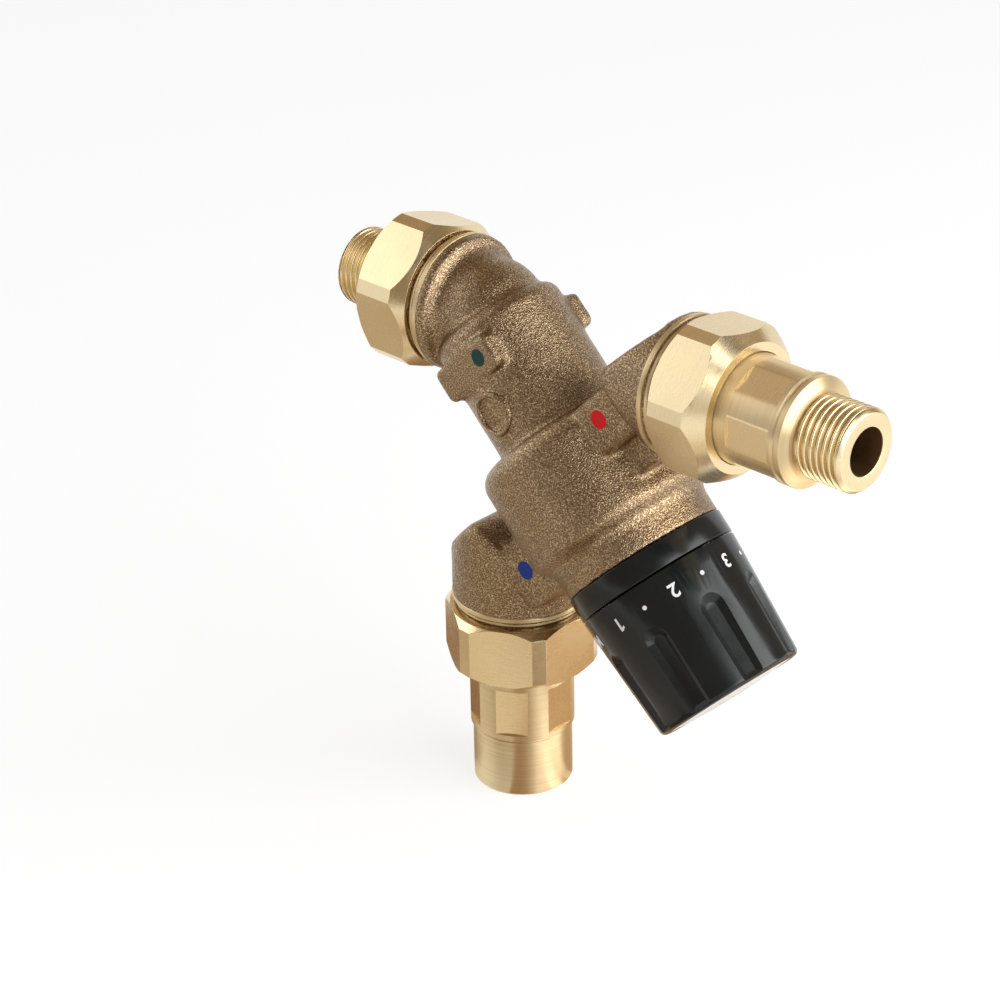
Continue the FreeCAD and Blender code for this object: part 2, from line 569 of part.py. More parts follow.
def setting_knob():
    hub_inner = z.bonnet_neck + z.hub_clearance
    hub_outer = hub_inner + z.hub_wall
    bead = z.bonnet_neck - z.snap_groove_depth + z.snap_clearance
    bead_low = z.snap_groove_at - z.snap_groove_width / 2 + z.snap_clearance
    bead_high = z.snap_groove_at + z.snap_groove_width / 2 - z.snap_clearance
    web = bonnet_end + z.knob_gap
    web_end = web + z.web_thickness
    boss_end = web_end + z.boss_length
    disc_seat = knob_end - z.disc_recess - z.disc_thickness
    draft = (z.knob_radius - z.knob_end_radius) / z.knob_length
    inner_start = z.knob_radius - z.knob_wall
    inner_web = inner_start - draft * (web - knob_start)
    recess = z.disc_radius + z.disc_clearance
    ledge = z.disc_radius - z.disc_ledge
    points = [(hub_inner, knob_start), (hub_outer, knob_start), (hub_outer, web), (inner_web, web),
              (inner_start, knob_start), (z.knob_radius, knob_start), (z.knob_end_radius, knob_end),
              (recess, knob_end), (recess, disc_seat), (ledge, disc_seat), (ledge, web_end),
              (z.boss_radius, web_end), (z.boss_radius, boss_end), (0, boss_end), (0, web), (hub_inner, web),
              (hub_inner, bead_high), (bead, bead_high), (bead, bead_low), (hub_inner, bead_low)]
    body = turned("knob_moulding", "diagonal", points, rounds=[((z.knob_end_radius, knob_end), z.knob_round)])
    knob_flutes(body)
    place(body, "diagonal", spin=FLUTE_TURN)
    socket = prism("knob_socket", "diagonal", z.hex_across + z.hex_clearance * 2, web - z.knob_gap,
                   bonnet_end + z.hex_length + z.knob_gap * 2)
    node(cut("knob_cut", body, socket), "setting_knob")
    disc = turned("dial_disc_turned", "diagonal", [
        (0, disc_seat), (z.disc_radius, disc_seat), (z.disc_radius, disc_seat + z.disc_thickness),
        (0, disc_seat + z.disc_thickness)])
    node(disc, "dial_disc")


def knob_flutes(body):
    """Finger recesses: one tapered pocket with a round top, repeated round the knob."""
    half = z.flute_width / 2
    sketch = body.newObject("Sketcher::SketchObject", "flute_outline")
    sketch.AttachmentSupport = (origin_plane(body, "YZ_Plane"), [""])
    sketch.MapMode = "FlatFace"
    low = z.flute_start + half
    floor = z.flute_floor + z.flute_start * math.sin(math.radians(FLUTE_LEAN))
    lean = FreeCAD.Rotation(FreeCAD.Vector(1, 0, 0), -FLUTE_LEAN)
    sketch.AttachmentOffset = FreeCAD.Placement(FreeCAD.Vector(0, 0, floor.value), lean)
    sketch.setExpression("AttachmentOffset.Base.z", floor.text)
    corners = [FreeCAD.Vector(half.value, low.value, 0), FreeCAD.Vector(half.value, z.flute_end.value, 0),
               FreeCAD.Vector(-half.value, z.flute_end.value, 0), FreeCAD.Vector(-half.value, low.value, 0)]
    for start, end in zip(corners, corners[1:]):
        sketch.addGeometry(Part.LineSegment(start, end))
    crown = Part.Circle(FreeCAD.Vector(0, low.value, 0), FreeCAD.Vector(0, 0, 1), half.value)
    sketch.addGeometry(Part.ArcOfCircle(crown, math.pi, 2 * math.pi))
    for edge in range(2):
        sketch.addConstraint(Sketcher.Constraint("Coincident", edge, 2, edge + 1, 1))
    sketch.addConstraint(Sketcher.Constraint("Tangent", 2, 2, 3, 1))
    sketch.addConstraint(Sketcher.Constraint("Tangent", 3, 2, 0, 1))
    sketch.addConstraint(Sketcher.Constraint("Vertical", 0))
    sketch.addConstraint(Sketcher.Constraint("Vertical", 2))
    sketch.addConstraint(Sketcher.Constraint("Horizontal", 1))
    sketch.addConstraint(Sketcher.Constraint("PointOnObject", 3, 3, -2))
    pins = (("Radius", (3, half.value), half), ("DistanceY", (-1, 1, 3, 3, low.value), low),
            ("DistanceY", (-1, 1, 1, 1, z.flute_end.value), z.flute_end))
    for kind, spot, value in pins:
        number = sketch.addConstraint(Sketcher.Constraint(kind, *spot))
        sketch.setExpression(f"Constraints[{number}]", value.text)
    pocket = body.newObject("PartDesign::Pocket", "flute")
    pocket.Profile = sketch
    pocket.Reversed = True
    bind(pocket, Length=z.knob_radius - z.flute_floor, TaperAngle=z.flute_taper)
    doc.recompute()
    pattern = body.newObject("PartDesign::PolarPattern", "flutes")
    pattern.Originals = [pocket]
    pattern.Axis = (origin_plane(body, "Z_Axis"), [""])
    pattern.Angle = 360.0
    pattern.Occurrences = FLUTES
    body.Tip = pattern
    doc.recompute()


def spindle():
    collar_end = z.cup_end + z.spindle_collar_length
    stem_ring = stem_radius - z.stem_ring_section
    ring_low = z.stem_ring_at - z.stem_ring_section / 2
    ring_high = z.stem_ring_at + z.stem_ring_section / 2
    stem = turned("spindle_stem", "diagonal", [
        (0, z.cup_end), (z.spindle_collar, z.cup_end), (z.spindle_collar, collar_end),
        (stem_radius, collar_end),
        (stem_radius, ring_low), (stem_ring, ring_low), (stem_ring, ring_high), (stem_radius, ring_high),
        (stem_radius, bonnet_end), (0, bonnet_end)])
    head = prism("spindle_head", "diagonal", z.hex_across, bonnet_end, bonnet_end + z.hex_length)
    node(fuse("spindle_fused", [stem, head]), "spindle")
    section = z.stem_ring_section / 2
    seal_ring("spindle_o_ring", stem_radius - section, section, z.stem_ring_at)


def carrier():
    floor = z.cup_end - z.cup_floor
    button_end = z.pin_end + z.button_thickness
    groove = cup_inner + z.snap_ring_depth
    ring_low = z.pin_end - z.snap_ring_width
    cup = turned("overload_cup_turned", "diagonal", [
        (cup_inner, z.cup_start), (cup_radius, z.cup_start), (cup_radius, z.cup_end), (0, z.cup_end),
        (0, floor), (cup_inner, floor), (cup_inner, z.pin_end), (groove, z.pin_end), (groove, ring_low),
        (cup_inner, ring_low)])
    node(cup, "overload_cup")
    ring = turned("cup_snap_ring_turned", "diagonal", [
        (z.snap_ring_bore, ring_low), (groove, ring_low), (groove, z.pin_end), (z.snap_ring_bore, z.pin_end)])
    node(ring, "cup_snap_ring")
    button_radius = cup_inner - z.button_clearance
    button = turned("thrust_button_turned", "diagonal", [
        (0, z.pin_end), (button_radius, z.pin_end), (button_radius, button_end), (0, button_end)])
    node(button, "thrust_button")
    coil("overload_spring", "diagonal", z.overload_radius, z.overload_wire, button_end, floor,
         z.overload_turns)


def piston():
    hub_end = z.hub_at + z.hub_length
    groove = piston_radius - z.piston_ring_section
    ring_low = z.piston_ring_at - z.piston_ring_section / 2
    ring_high = z.piston_ring_at + z.piston_ring_section / 2
    sleeve = turned("piston_sleeve", "diagonal", [
        (piston_inner, piston_start), (piston_radius, piston_start), (piston_radius, ring_low),
        (groove, ring_low), (groove, ring_high), (piston_radius, ring_high), (piston_radius, z.piston_end),
        (piston_inner, z.piston_end)])
    eye = z.element_neck + z.element_clearance
    hub = turned("piston_hub", "diagonal", [
        (eye, z.hub_at), (z.hub_radius, z.hub_at), (z.hub_radius, hub_end), (eye, hub_end)])
    spokes = []
    for number in range(SPOKES):
        spoke = doc.addObject("Part::Box", f"spoke_{number}")
        reach = (piston_inner + groove) / 2 - z.element_neck * 1.4
        bind(spoke, Length=reach, Width=z.spoke_width, Height=z.hub_length)
        lift = math.radians(360.0 * number / SPOKES)
        start = z.element_neck * 1.4
        half = z.spoke_width / 2
        across = start * math.cos(lift) + half * math.sin(lift)
        side = start * math.sin(lift) - half * math.cos(lift)
        spokes.append(place(spoke, "diagonal", across, side, z.hub_at, math.degrees(lift)))
    node(fuse("piston_fused", [sleeve, hub] + spokes), "regulating_piston")
    section = z.piston_ring_section / 2
    seal_ring("piston_o_ring", piston_radius - section, section, z.piston_ring_at)
    collar_start = z.hub_at - z.bulb_collar_length
    element = turned("wax_element_turned", "diagonal", [
        (0, z.bulb_start), (z.bulb_radius, z.bulb_start), (z.bulb_radius, collar_start),
        (z.bulb_collar, collar_start),
        (z.bulb_collar, z.hub_at), (z.element_neck, z.hub_at), (z.element_neck, z.element_neck_end),
        (z.pin_radius, z.element_neck_end), (z.pin_radius, z.pin_end), (0, z.pin_end)])
    node(element, "wax_element")
    coil("return_spring", "diagonal", z.spring_radius, z.spring_wire, z.spring_seat, z.hub_at, z.spring_turns)


valve_body()
for port_name in ("mixed", "hot", "cold"):
    union_nut(port_name)
    gasket(port_name)
hot_tailpiece()
mixed_tailpiece()
cold_tailpiece()
bonnet()
bonnet_section = (z.bonnet_ring_section - z.bonnet_clearance) / 2
seal_ring("bonnet_o_ring", bonnet_radius - bonnet_section, bonnet_section, z.bonnet_ring_at)
index_collar()
setting_knob()
spindle()
carrier()
piston()
doc.recompute()

failed = [item.Name for item in doc.Objects if "Invalid" in item.State or "Error" in item.State]
failed += [item.Label for item in nodes if item.Shape.isNull() or not item.Shape.isValid()]
if failed:
    raise RuntimeError("failed objects: " + ", ".join(failed))
for item in nodes:
    item.Shape.exportStep(f"parts/{item.Label}.step")
    print(f"{item.Label}: {len(item.Shape.Solids)} solid, {item.Shape.Volume:.0f} mm3")
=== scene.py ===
import math
import bmesh
import bpy
import numpy as np
from mathutils import Euler, Matrix, Vector, noise
from mathutils.bvhtree import BVHTree


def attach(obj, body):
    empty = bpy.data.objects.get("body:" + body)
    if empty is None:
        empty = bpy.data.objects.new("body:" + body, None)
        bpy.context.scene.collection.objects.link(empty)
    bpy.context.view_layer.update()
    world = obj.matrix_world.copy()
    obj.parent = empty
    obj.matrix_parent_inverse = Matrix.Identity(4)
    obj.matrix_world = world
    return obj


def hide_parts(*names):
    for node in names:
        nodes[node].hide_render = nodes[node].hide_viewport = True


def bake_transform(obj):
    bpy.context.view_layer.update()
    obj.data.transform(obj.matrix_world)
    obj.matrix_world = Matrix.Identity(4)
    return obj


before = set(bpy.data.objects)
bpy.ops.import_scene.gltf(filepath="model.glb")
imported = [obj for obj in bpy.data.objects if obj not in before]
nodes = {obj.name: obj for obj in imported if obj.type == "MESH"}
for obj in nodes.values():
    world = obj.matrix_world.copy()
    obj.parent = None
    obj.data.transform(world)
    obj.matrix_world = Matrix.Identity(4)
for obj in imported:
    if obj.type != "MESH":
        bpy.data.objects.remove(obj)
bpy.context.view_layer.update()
mm = 0.001
fullTurn = 2 * math.pi
weldGap = 1e-6  # metres: points nearer than this are one
print("frame loaded:", len(nodes), "nodes")

# the valve's own axes: each has its Z along one port or along the slanted barrel
crossing = Vector((-8.4, 0.0, 132.6)) * mm
aboveCold = Vector((0.0, 0.0, 132.6)) * mm


def axisMatrix(origin, tilt):
    return Matrix.Translation(origin) @ Matrix.Rotation(math.radians(tilt), 4, "Y")


axes = {
    "barrel": axisMatrix(crossing, 135.0),
    "hot": axisMatrix(crossing, 90.0),
    "mixed": axisMatrix(crossing, -90.0),
    "cold": axisMatrix(aboveCold, 180.0),
}


def roundAxis(axis, reach, turn, along):  # a spot round an axis: reach and along in mm, turn in radians
    return axes[axis] @ (Vector((reach * math.cos(turn), reach * math.sin(turn), along)) * mm)


def newObject(name, data):
    item = bpy.data.objects.new(name, data)
    bpy.context.scene.collection.objects.link(item)
    return item


def linkPiece(name, mesh, material, body):
    piece = newObject(name, mesh)
    mesh.materials.clear()
    mesh.materials.append(material)
    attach(piece, body)
    return piece


def smoothByAngle(mesh, degrees):
    bm = bmesh.new()
    bm.from_mesh(mesh)
    for face in bm.faces:
        face.smooth = True
    for edge in bm.edges:
        edge.smooth = len(edge.link_faces) == 2 and edge.calc_face_angle(0.0) < math.radians(degrees)
    bm.to_mesh(mesh)
    bm.free()


def plainCopy(name, source):  # points and faces only, welded
    bm = bmesh.new()
    bm.from_mesh(source)
    bmesh.ops.remove_doubles(bm, verts=bm.verts, dist=weldGap)
    points = [vert.co.copy() for vert in bm.verts]
    bm.verts.index_update()
    faces = [[vert.index for vert in face.verts] for face in bm.faces]
    bm.free()
    mesh = bpy.data.meshes.new(name)
    mesh.from_pydata(points, [], faces)
    return mesh


def outwardMesh(name, points, faces, weld=False, facing=None):  # an open sheet is turned to look along facing
    mesh = bpy.data.meshes.new(name)
    mesh.from_pydata(points, [], faces)
    bm = bmesh.new()
    bm.from_mesh(mesh)
    if weld:
        bmesh.ops.remove_doubles(bm, verts=bm.verts, dist=2 * weldGap)
        bmesh.ops.dissolve_degenerate(bm, edges=bm.edges, dist=weldGap)
    bmesh.ops.recalc_face_normals(bm, faces=bm.faces)
    if facing and sum(face.normal.dot(facing) for face in bm.faces) < 0:
        bmesh.ops.reverse_faces(bm, faces=bm.faces)
    bm.to_mesh(mesh)
    bm.free()
    return mesh


def loopFaces(rows, columns, closed=True):  # quads between loops of points; a closed one joins last to first
    faces = []
    for row in range(rows if closed else rows - 1):
        here = row * columns
        after = (row + 1) % rows * columns
        for column in range(columns):
            beside = (column + 1) % columns
            faces.append((here + column, here + beside, after + beside, after + column))
    return faces


def applied(piece):  # bakes the modifiers into the mesh
    bpy.context.view_layer.update()
    graph = bpy.context.evaluated_depsgraph_get()
    mesh = bpy.data.meshes.new_from_object(piece.evaluated_get(graph))
    piece.modifiers.clear()
    piece.data = mesh
    return mesh


def feed(tree, socket, value):  # a plain value is set on the socket, another node's output is linked to it
    if isinstance(value, bpy.types.NodeSocket):
        tree.links.new(value, socket)
    else:
        socket.default_value = value


def addNode(tree, kind, **values):  # a value goes to the input of its name, or else is a setting
    item = tree.nodes.new(kind)
    for key, value in values.items():
        if key in item.inputs:
            feed(tree, item.inputs[key], value)
        else:
            setattr(item, key, value)
    return item


def clearTree(owner):
    owner.use_nodes = True
    owner.node_tree.nodes.clear()
    return owner.node_tree


def newMaterial(name):
    material = bpy.data.materials.new(name)
    tree = clearTree(material)
    output = tree.nodes.new("ShaderNodeOutputMaterial")
    shader = tree.nodes.new("ShaderNodeBsdfPrincipled")
    tree.links.new(shader.outputs["BSDF"], output.inputs["Surface"])
    coords = tree.nodes.new("ShaderNodeTexCoord").outputs["Object"]
    return material, tree, shader, coords


def groupTree(name, inputs, outputs):  # a tuple makes a vector input, and the rest are plain values
    group = bpy.data.node_groups.new(name, "ShaderNodeTree")
    for socketName, value in inputs.items():
        kind = "NodeSocketVector" if isinstance(value, tuple) else "NodeSocketFloat"
        socket = group.interface.new_socket(socketName, in_out="INPUT", socket_type=kind)
        socket.default_value = value
    for socketName in outputs:
        group.interface.new_socket(socketName, in_out="OUTPUT", socket_type="NodeSocketFloat")
    start = group.nodes.new("NodeGroupInput").outputs
    end = group.nodes.new("NodeGroupOutput").inputs
    return group, start, end


def placeGroup(tree, group, **inputs):
    item = addNode(tree, "ShaderNodeGroup", node_tree=group)
    for key, value in inputs.items():
        feed(tree, item.inputs[key], value)
    return item.outputs


def noiseNode(tree, vector, scale, detail=2.0, roughness=0.5):
    item = addNode(tree, "ShaderNodeTexNoise", Vector=vector, Scale=scale, Detail=detail, Roughness=roughness)
    return item.outputs["Fac"]


def mathNode(tree, operation, first, second):
    item = addNode(tree, "ShaderNodeMath", operation=operation)
    feed(tree, item.inputs[0], first)
    feed(tree, item.inputs[1], second)
    return item.outputs["Value"]


def rangeNode(tree, value, low, high, toLow=0.0, toHigh=1.0):
    item = addNode(tree, "ShaderNodeMapRange", **{"Value": value, "From Min": low, "From Max": high,
                                                  "To Min": toLow, "To Max": toHigh})
    return item.outputs["Result"]


def mixColour(tree, factor, first, second):
    item = addNode(tree, "ShaderNodeMix", data_type="RGBA", Factor=factor)
    for place, value in ((6, first), (7, second)):
        feed(tree, item.inputs[place], (*value, 1.0) if isinstance(value, tuple) else value)
    return item.outputs[2]


def addBump(tree, shader, height, strength, distance):
    bump = addNode(tree, "ShaderNodeBump", Strength=strength, Distance=distance, Height=height)
    tree.links.new(bump.outputs["Normal"], shader.inputs["Normal"])


handlingCloud = {"detail": 4.0, "roughness": 0.6, "from": 0.35, "to": 0.65}


def buildHandling():  # faint cloudy patches that change the gloss
    group, start, end = groupTree(
        "handling", {"Vector": (0.0, 0.0, 0.0), "Patch Scale": 60.0, "Low": 0.2, "High": 0.3},
        ("Gloss", "Patch"))
    cloud = noiseNode(group, start["Vector"], start["Patch Scale"], handlingCloud["detail"],
                      handlingCloud["roughness"])
    gloss = rangeNode(group, cloud, handlingCloud["from"], handlingCloud["to"], start["Low"], start["High"])
    group.links.new(gloss, end["Gloss"])
    group.links.new(cloud, end["Patch"])
    return group


cutterLines = {"detail": 3.0, "roughness": 0.6, "from": 0.3, "to": 0.7}


def buildToolMarks():  # fine lines left by a cutter, drawn out by an uneven scale of the coordinates
    group, start, end = groupTree(
        "toolMarks", {"Vector": (0.0, 0.0, 0.0), "Stretch": (1.0, 1.0, 1.0)}, ("Height", "Line"))
    stretched = addNode(group, "ShaderNodeVectorMath", operation="MULTIPLY")
    group.links.new(start["Vector"], stretched.inputs[0])
    group.links.new(start["Stretch"], stretched.inputs[1])
    fine = noiseNode(group, stretched.outputs["Vector"], 1.0, cutterLines["detail"], cutterLines["roughness"])
    group.links.new(fine, end["Height"])
    group.links.new(rangeNode(group, fine, cutterLines["from"], cutterLines["to"]), end["Line"])
    return group


sandGrain = {"grainRoughness": 0.55, "lumpDetail": 3.0, "lumpShare": 0.90, "crestFrom": 0.46, "crestTo": 0.70,
             "cloudScale": 70.0, "cloudDetail": 3.0, "cloudFrom": 0.3, "cloudTo": 0.7}


def buildCastGrain():  # sand grain, with soft lumps below it
    group, start, end = groupTree(
        "castGrain", {"Vector": (0.0, 0.0, 0.0), "Grain Scale": 1500.0, "Lump Scale": 350.0},
        ("Height", "Crest", "Cloud"))
    grain = noiseNode(group, start["Vector"], start["Grain Scale"], roughness=sandGrain["grainRoughness"])
    lumps = noiseNode(group, start["Vector"], start["Lump Scale"], sandGrain["lumpDetail"])
    cloud = noiseNode(group, start["Vector"], sandGrain["cloudScale"], sandGrain["cloudDetail"])
    height = mathNode(group, "ADD", grain, mathNode(group, "MULTIPLY", lumps, sandGrain["lumpShare"]))
    group.links.new(height, end["Height"])
    group.links.new(rangeNode(group, grain, sandGrain["crestFrom"], sandGrain["crestTo"]), end["Crest"])
    group.links.new(rangeNode(group, cloud, sandGrain["cloudFrom"], sandGrain["cloudTo"]), end["Cloud"])
    return group


handling = buildHandling()
toolMarks = buildToolMarks()
castGrain = buildCastGrain()

castLook = {"deep": (0.215, 0.145, 0.085), "grainAndGlintGold": (0.80, 0.605, 0.380), "shadeLow": 0.75, "roughLow": 0.23,
            "roughHigh": 0.35, "grainScale": 2600.0, "lumpScale": 420.0, "bump": 0.00022, "bumpStrength": 1.0}


def castBronze():
    material, tree, shader, coords = newMaterial("castBronze")
    grain = placeGroup(tree, castGrain, **{"Vector": coords, "Grain Scale": castLook["grainScale"],
                                           "Lump Scale": castLook["lumpScale"]})
    shade = rangeNode(tree, grain["Cloud"], 0.0, 1.0, castLook["shadeLow"], 1.0)
    # the colour runs from deep brown to bright gold on the grain's crests, dimmed at random by the cloud:
    # partly the sand grain's own tone, partly painted glints that stand in for sparkle on the crests
    crest = mathNode(tree, "MULTIPLY", grain["Crest"], shade)
    colour = mixColour(tree, crest, castLook["deep"], castLook["grainAndGlintGold"])
    tree.links.new(colour, shader.inputs["Base Color"])
    gloss = rangeNode(tree, grain["Crest"], 0.0, 1.0, castLook["roughHigh"], castLook["roughLow"])
    tree.links.new(gloss, shader.inputs["Roughness"])
    addBump(tree, shader, grain["Height"], castLook["bumpStrength"], castLook["bump"])
    shader.inputs["Metallic"].default_value = 1.0
    return material


brassLook = {"pale": (0.84, 0.715, 0.478), "warm": (0.825, 0.645, 0.365), "line": (0.62, 0.44, 0.22),
             "lined": 0.45, "roughLow": 0.20, "roughHigh": 0.28, "turnedLow": 0.36, "turnedHigh": 0.44,
             "lineRough": 0.06, "patchScale": 55.0, "bump": 0.000010, "bumpStrength": 0.6, "drawn": 0.9,
             "drawnTurn": 0.25}
brassKinds = {  # the scale of the cutter's lines along X, Y and Z, and the axis of a turned finish
    "satinBrassPorts": ((3500.0, 300.0, 300.0), None),
    "satinBrassFoot": ((300.0, 300.0, 3500.0), None),
    "turnedBrassPorts": ((2600.0, 40.0, 40.0), "X"),
    "turnedBrassFoot": ((40.0, 40.0, 2600.0), "Z"),
}


def satinBrass(name, stretch, turnedAxis):  # a turned piece spreads its highlights along its axis
    material, tree, shader, coords = newMaterial(name)
    marks = placeGroup(tree, toolMarks, Vector=coords, Stretch=stretch)
    low, high = ("turnedLow", "turnedHigh") if turnedAxis else ("roughLow", "roughHigh")
    touch = placeGroup(tree, handling, **{"Vector": coords, "Patch Scale": brassLook["patchScale"],
                                          "Low": brassLook[low], "High": brassLook[high]})
    colour = mixColour(tree, touch["Patch"], brassLook["warm"], brassLook["pale"])
    if turnedAxis:
        lined = mathNode(tree, "MULTIPLY", marks["Line"], brassLook["lined"])
        colour = mixColour(tree, lined, colour, brassLook["line"])
    tree.links.new(colour, shader.inputs["Base Color"])
    lineRough = mathNode(tree, "MULTIPLY", marks["Line"], brassLook["lineRough"])
    tree.links.new(mathNode(tree, "ADD", touch["Gloss"], lineRough), shader.inputs["Roughness"])
    addBump(tree, shader, marks["Height"], brassLook["bumpStrength"], brassLook["bump"])
    shader.inputs["Metallic"].default_value = 1.0
    if turnedAxis:
        around = addNode(tree, "ShaderNodeTangent", direction_type="RADIAL", axis=turnedAxis)
        tree.links.new(around.outputs["Tangent"], shader.inputs["Tangent"])
        shader.inputs["Anisotropic"].default_value = brassLook["drawn"]
        shader.inputs["Anisotropic Rotation"].default_value = brassLook["drawnTurn"]
    return material


plasticLook = {"black": (0.0075, 0.0088, 0.0092), "grey": (0.0105, 0.0128, 0.0134), "roughLow": 0.15,
               "roughHigh": 0.23, "patchScale": 90.0, "grainScale": 2600.0, "bump": 0.00002,
               "bumpStrength": 0.3, "specular": 0.36}


def blackPlastic():
    material, tree, shader, coords = newMaterial("blackMoulding")
    touch = placeGroup(tree, handling, **{"Vector": coords, "Patch Scale": plasticLook["patchScale"],
                                          "Low": plasticLook["roughLow"], "High": plasticLook["roughHigh"]})
    colour = mixColour(tree, touch["Patch"], plasticLook["black"], plasticLook["grey"])
    tree.links.new(colour, shader.inputs["Base Color"])
    tree.links.new(touch["Gloss"], shader.inputs["Roughness"])
    grain = noiseNode(tree, coords, plasticLook["grainScale"])
    addBump(tree, shader, grain, plasticLook["bumpStrength"], plasticLook["bump"])
    shader.inputs["Specular IOR Level"].default_value = plasticLook["specular"]
    return material


plainLook = {"patchScale": 160.0, "roughSpread": 0.1, "bumpStrength": 0.5, "paintSpecular": 0.2}
plainKinds = {  # darker and lighter colour, metallic, roughness, grain scale and grain height
    # dark brown for the tails' bores; on the bonnet the same dark colour is painted shade in the gap between
    # collar and knob
    "dullBoreAndGapShade": ((0.20, 0.115, 0.05), (0.32, 0.20, 0.10), 1.0, 0.46, 900.0, 0.00003),
    "whitePrint": ((0.80, 0.80, 0.79), (0.90, 0.90, 0.89), 0.0, 0.45, 2500.0, 0.00001),
    "whiteDisc": ((0.78, 0.78, 0.77), (0.86, 0.86, 0.85), 0.0, 0.35, 1800.0, 0.00001),
    "sealRubber": ((0.012, 0.012, 0.012), (0.03, 0.03, 0.03), 0.0, 0.55, 2200.0, 0.00003),
    "springSteel": ((0.45, 0.45, 0.46), (0.60, 0.60, 0.60), 1.0, 0.28, 1500.0, 0.00001),
    "copperShell": ((0.60, 0.30, 0.18), (0.75, 0.42, 0.27), 1.0, 0.30, 900.0, 0.00001),
    "greyMoulding": ((0.20, 0.20, 0.20), (0.28, 0.28, 0.28), 0.0, 0.42, 1700.0, 0.00002),
    "redPaint": ((0.74, 0.003, 0.006), (0.88, 0.006, 0.010), 0.0, 0.30, 1200.0, 0.00004),
    "bluePaint": ((0.004, 0.030, 0.22), (0.008, 0.055, 0.34), 0.0, 0.30, 1200.0, 0.00004),
    "greenPaint": ((0.004, 0.035, 0.028), (0.010, 0.075, 0.055), 0.0, 0.35, 1200.0, 0.00006),
}


def plainFinish(name, dark, light, metallic, rough, grainScale, grainHeight):  # paint, rubber, wire and so on
    material, tree, shader, coords = newMaterial(name)
    touch = placeGroup(tree, handling, **{"Vector": coords, "Patch Scale": plainLook["patchScale"],
                                          "Low": rough, "High": rough + plainLook["roughSpread"]})
    tree.links.new(mixColour(tree, touch["Patch"], dark, light), shader.inputs["Base Color"])
    tree.links.new(touch["Gloss"], shader.inputs["Roughness"])
    addBump(tree, shader, noiseNode(tree, coords, grainScale), plainLook["bumpStrength"], grainHeight)
    shader.inputs["Metallic"].default_value = metallic
    if name.endswith("Paint"):
        shader.inputs["Specular IOR Level"].default_value = plainLook["paintSpecular"]
    return material


finishes = {"castBronze": castBronze(), "blackMoulding": blackPlastic()}
for name, kind in brassKinds.items():
    finishes[name] = satinBrass(name, *kind)
for name, kind in plainKinds.items():
    finishes[name] = plainFinish(name, *kind)
innerFinish = {  # the pieces inside keep their CAD form
    "sealRubber": ("mixed_gasket", "hot_gasket", "cold_gasket", "bonnet_o_ring", "spindle_o_ring",
                   "piston_o_ring"),
    # painted shade: the bonnet, seen only through the gap between collar and knob, is coloured dark so that
    # the gap looks shaded
    "dullBoreAndGapShade": ("bonnet",),
    "satinBrassPorts": ("spindle", "overload_cup"),
    "springSteel": ("cup_snap_ring", "thrust_button", "overload_spring"),
    "greyMoulding": ("regulating_piston",),
    "copperShell": ("wax_element",),
}
for finishName, nodeNames in innerFinish.items():
    for nodeName in nodeNames:
        nodes[nodeName].data.materials.clear()
        nodes[nodeName].data.materials.append(finishes[finishName])
print("finishes ready")


# the casting: the CAD body remeshed, with the sharp joins relaxed as in a sand mould
casting = {"voxel": 0.74 * mm, "rounds": 2, "strength": 0.5, "keepFrom": 70.0 * mm, "keepBlend": 2.5 * mm,
           "lumpScale": 240.0, "lumpHeight": 0.06 * mm, "grainScale": 900.0, "grainHeight": 0.03 * mm,
           "saddleRounds": 22, "saddle": (-9.0 * mm, 0.0, 92.0 * mm), "saddleReach": (13.0 * mm, 21.0 * mm),
           "saddleStretch": (1.0, 0.6, 1.0)}


def nearSaddle(points):  # 1 beside the saddle between the barrel and the cold hood, 0 far from it
    inner, outer = casting["saddleReach"]
    away = (points - np.array(casting["saddle"])) * np.array(casting["saddleStretch"])
    return np.clip((outer - np.linalg.norm(away, axis=1)) / (outer - inner), 0.0, 1.0)


def relax(points, edges, weights, rounds, strength):
    count = np.bincount(edges.ravel(), minlength=len(points))
    pull = (strength * weights / count)[:, None]
    for _ in range(rounds):
        total = np.zeros_like(points)
        for column in range(3):
            total[:, column] = np.bincount(edges[:, 0], points[edges[:, 1], column], len(points))
            total[:, column] += np.bincount(edges[:, 1], points[edges[:, 0], column], len(points))
        points += (total - points * count[:, None]) * pull
    return points


def readRows(items, key, width, kind=float):
    values = np.empty(len(items) * width, dtype=kind)
    items.foreach_get(key, values)
    return values.reshape(-1, width)


def relief(spots, scale, height):
    return np.array([noise.noise(spot * scale) for spot in spots]) * height


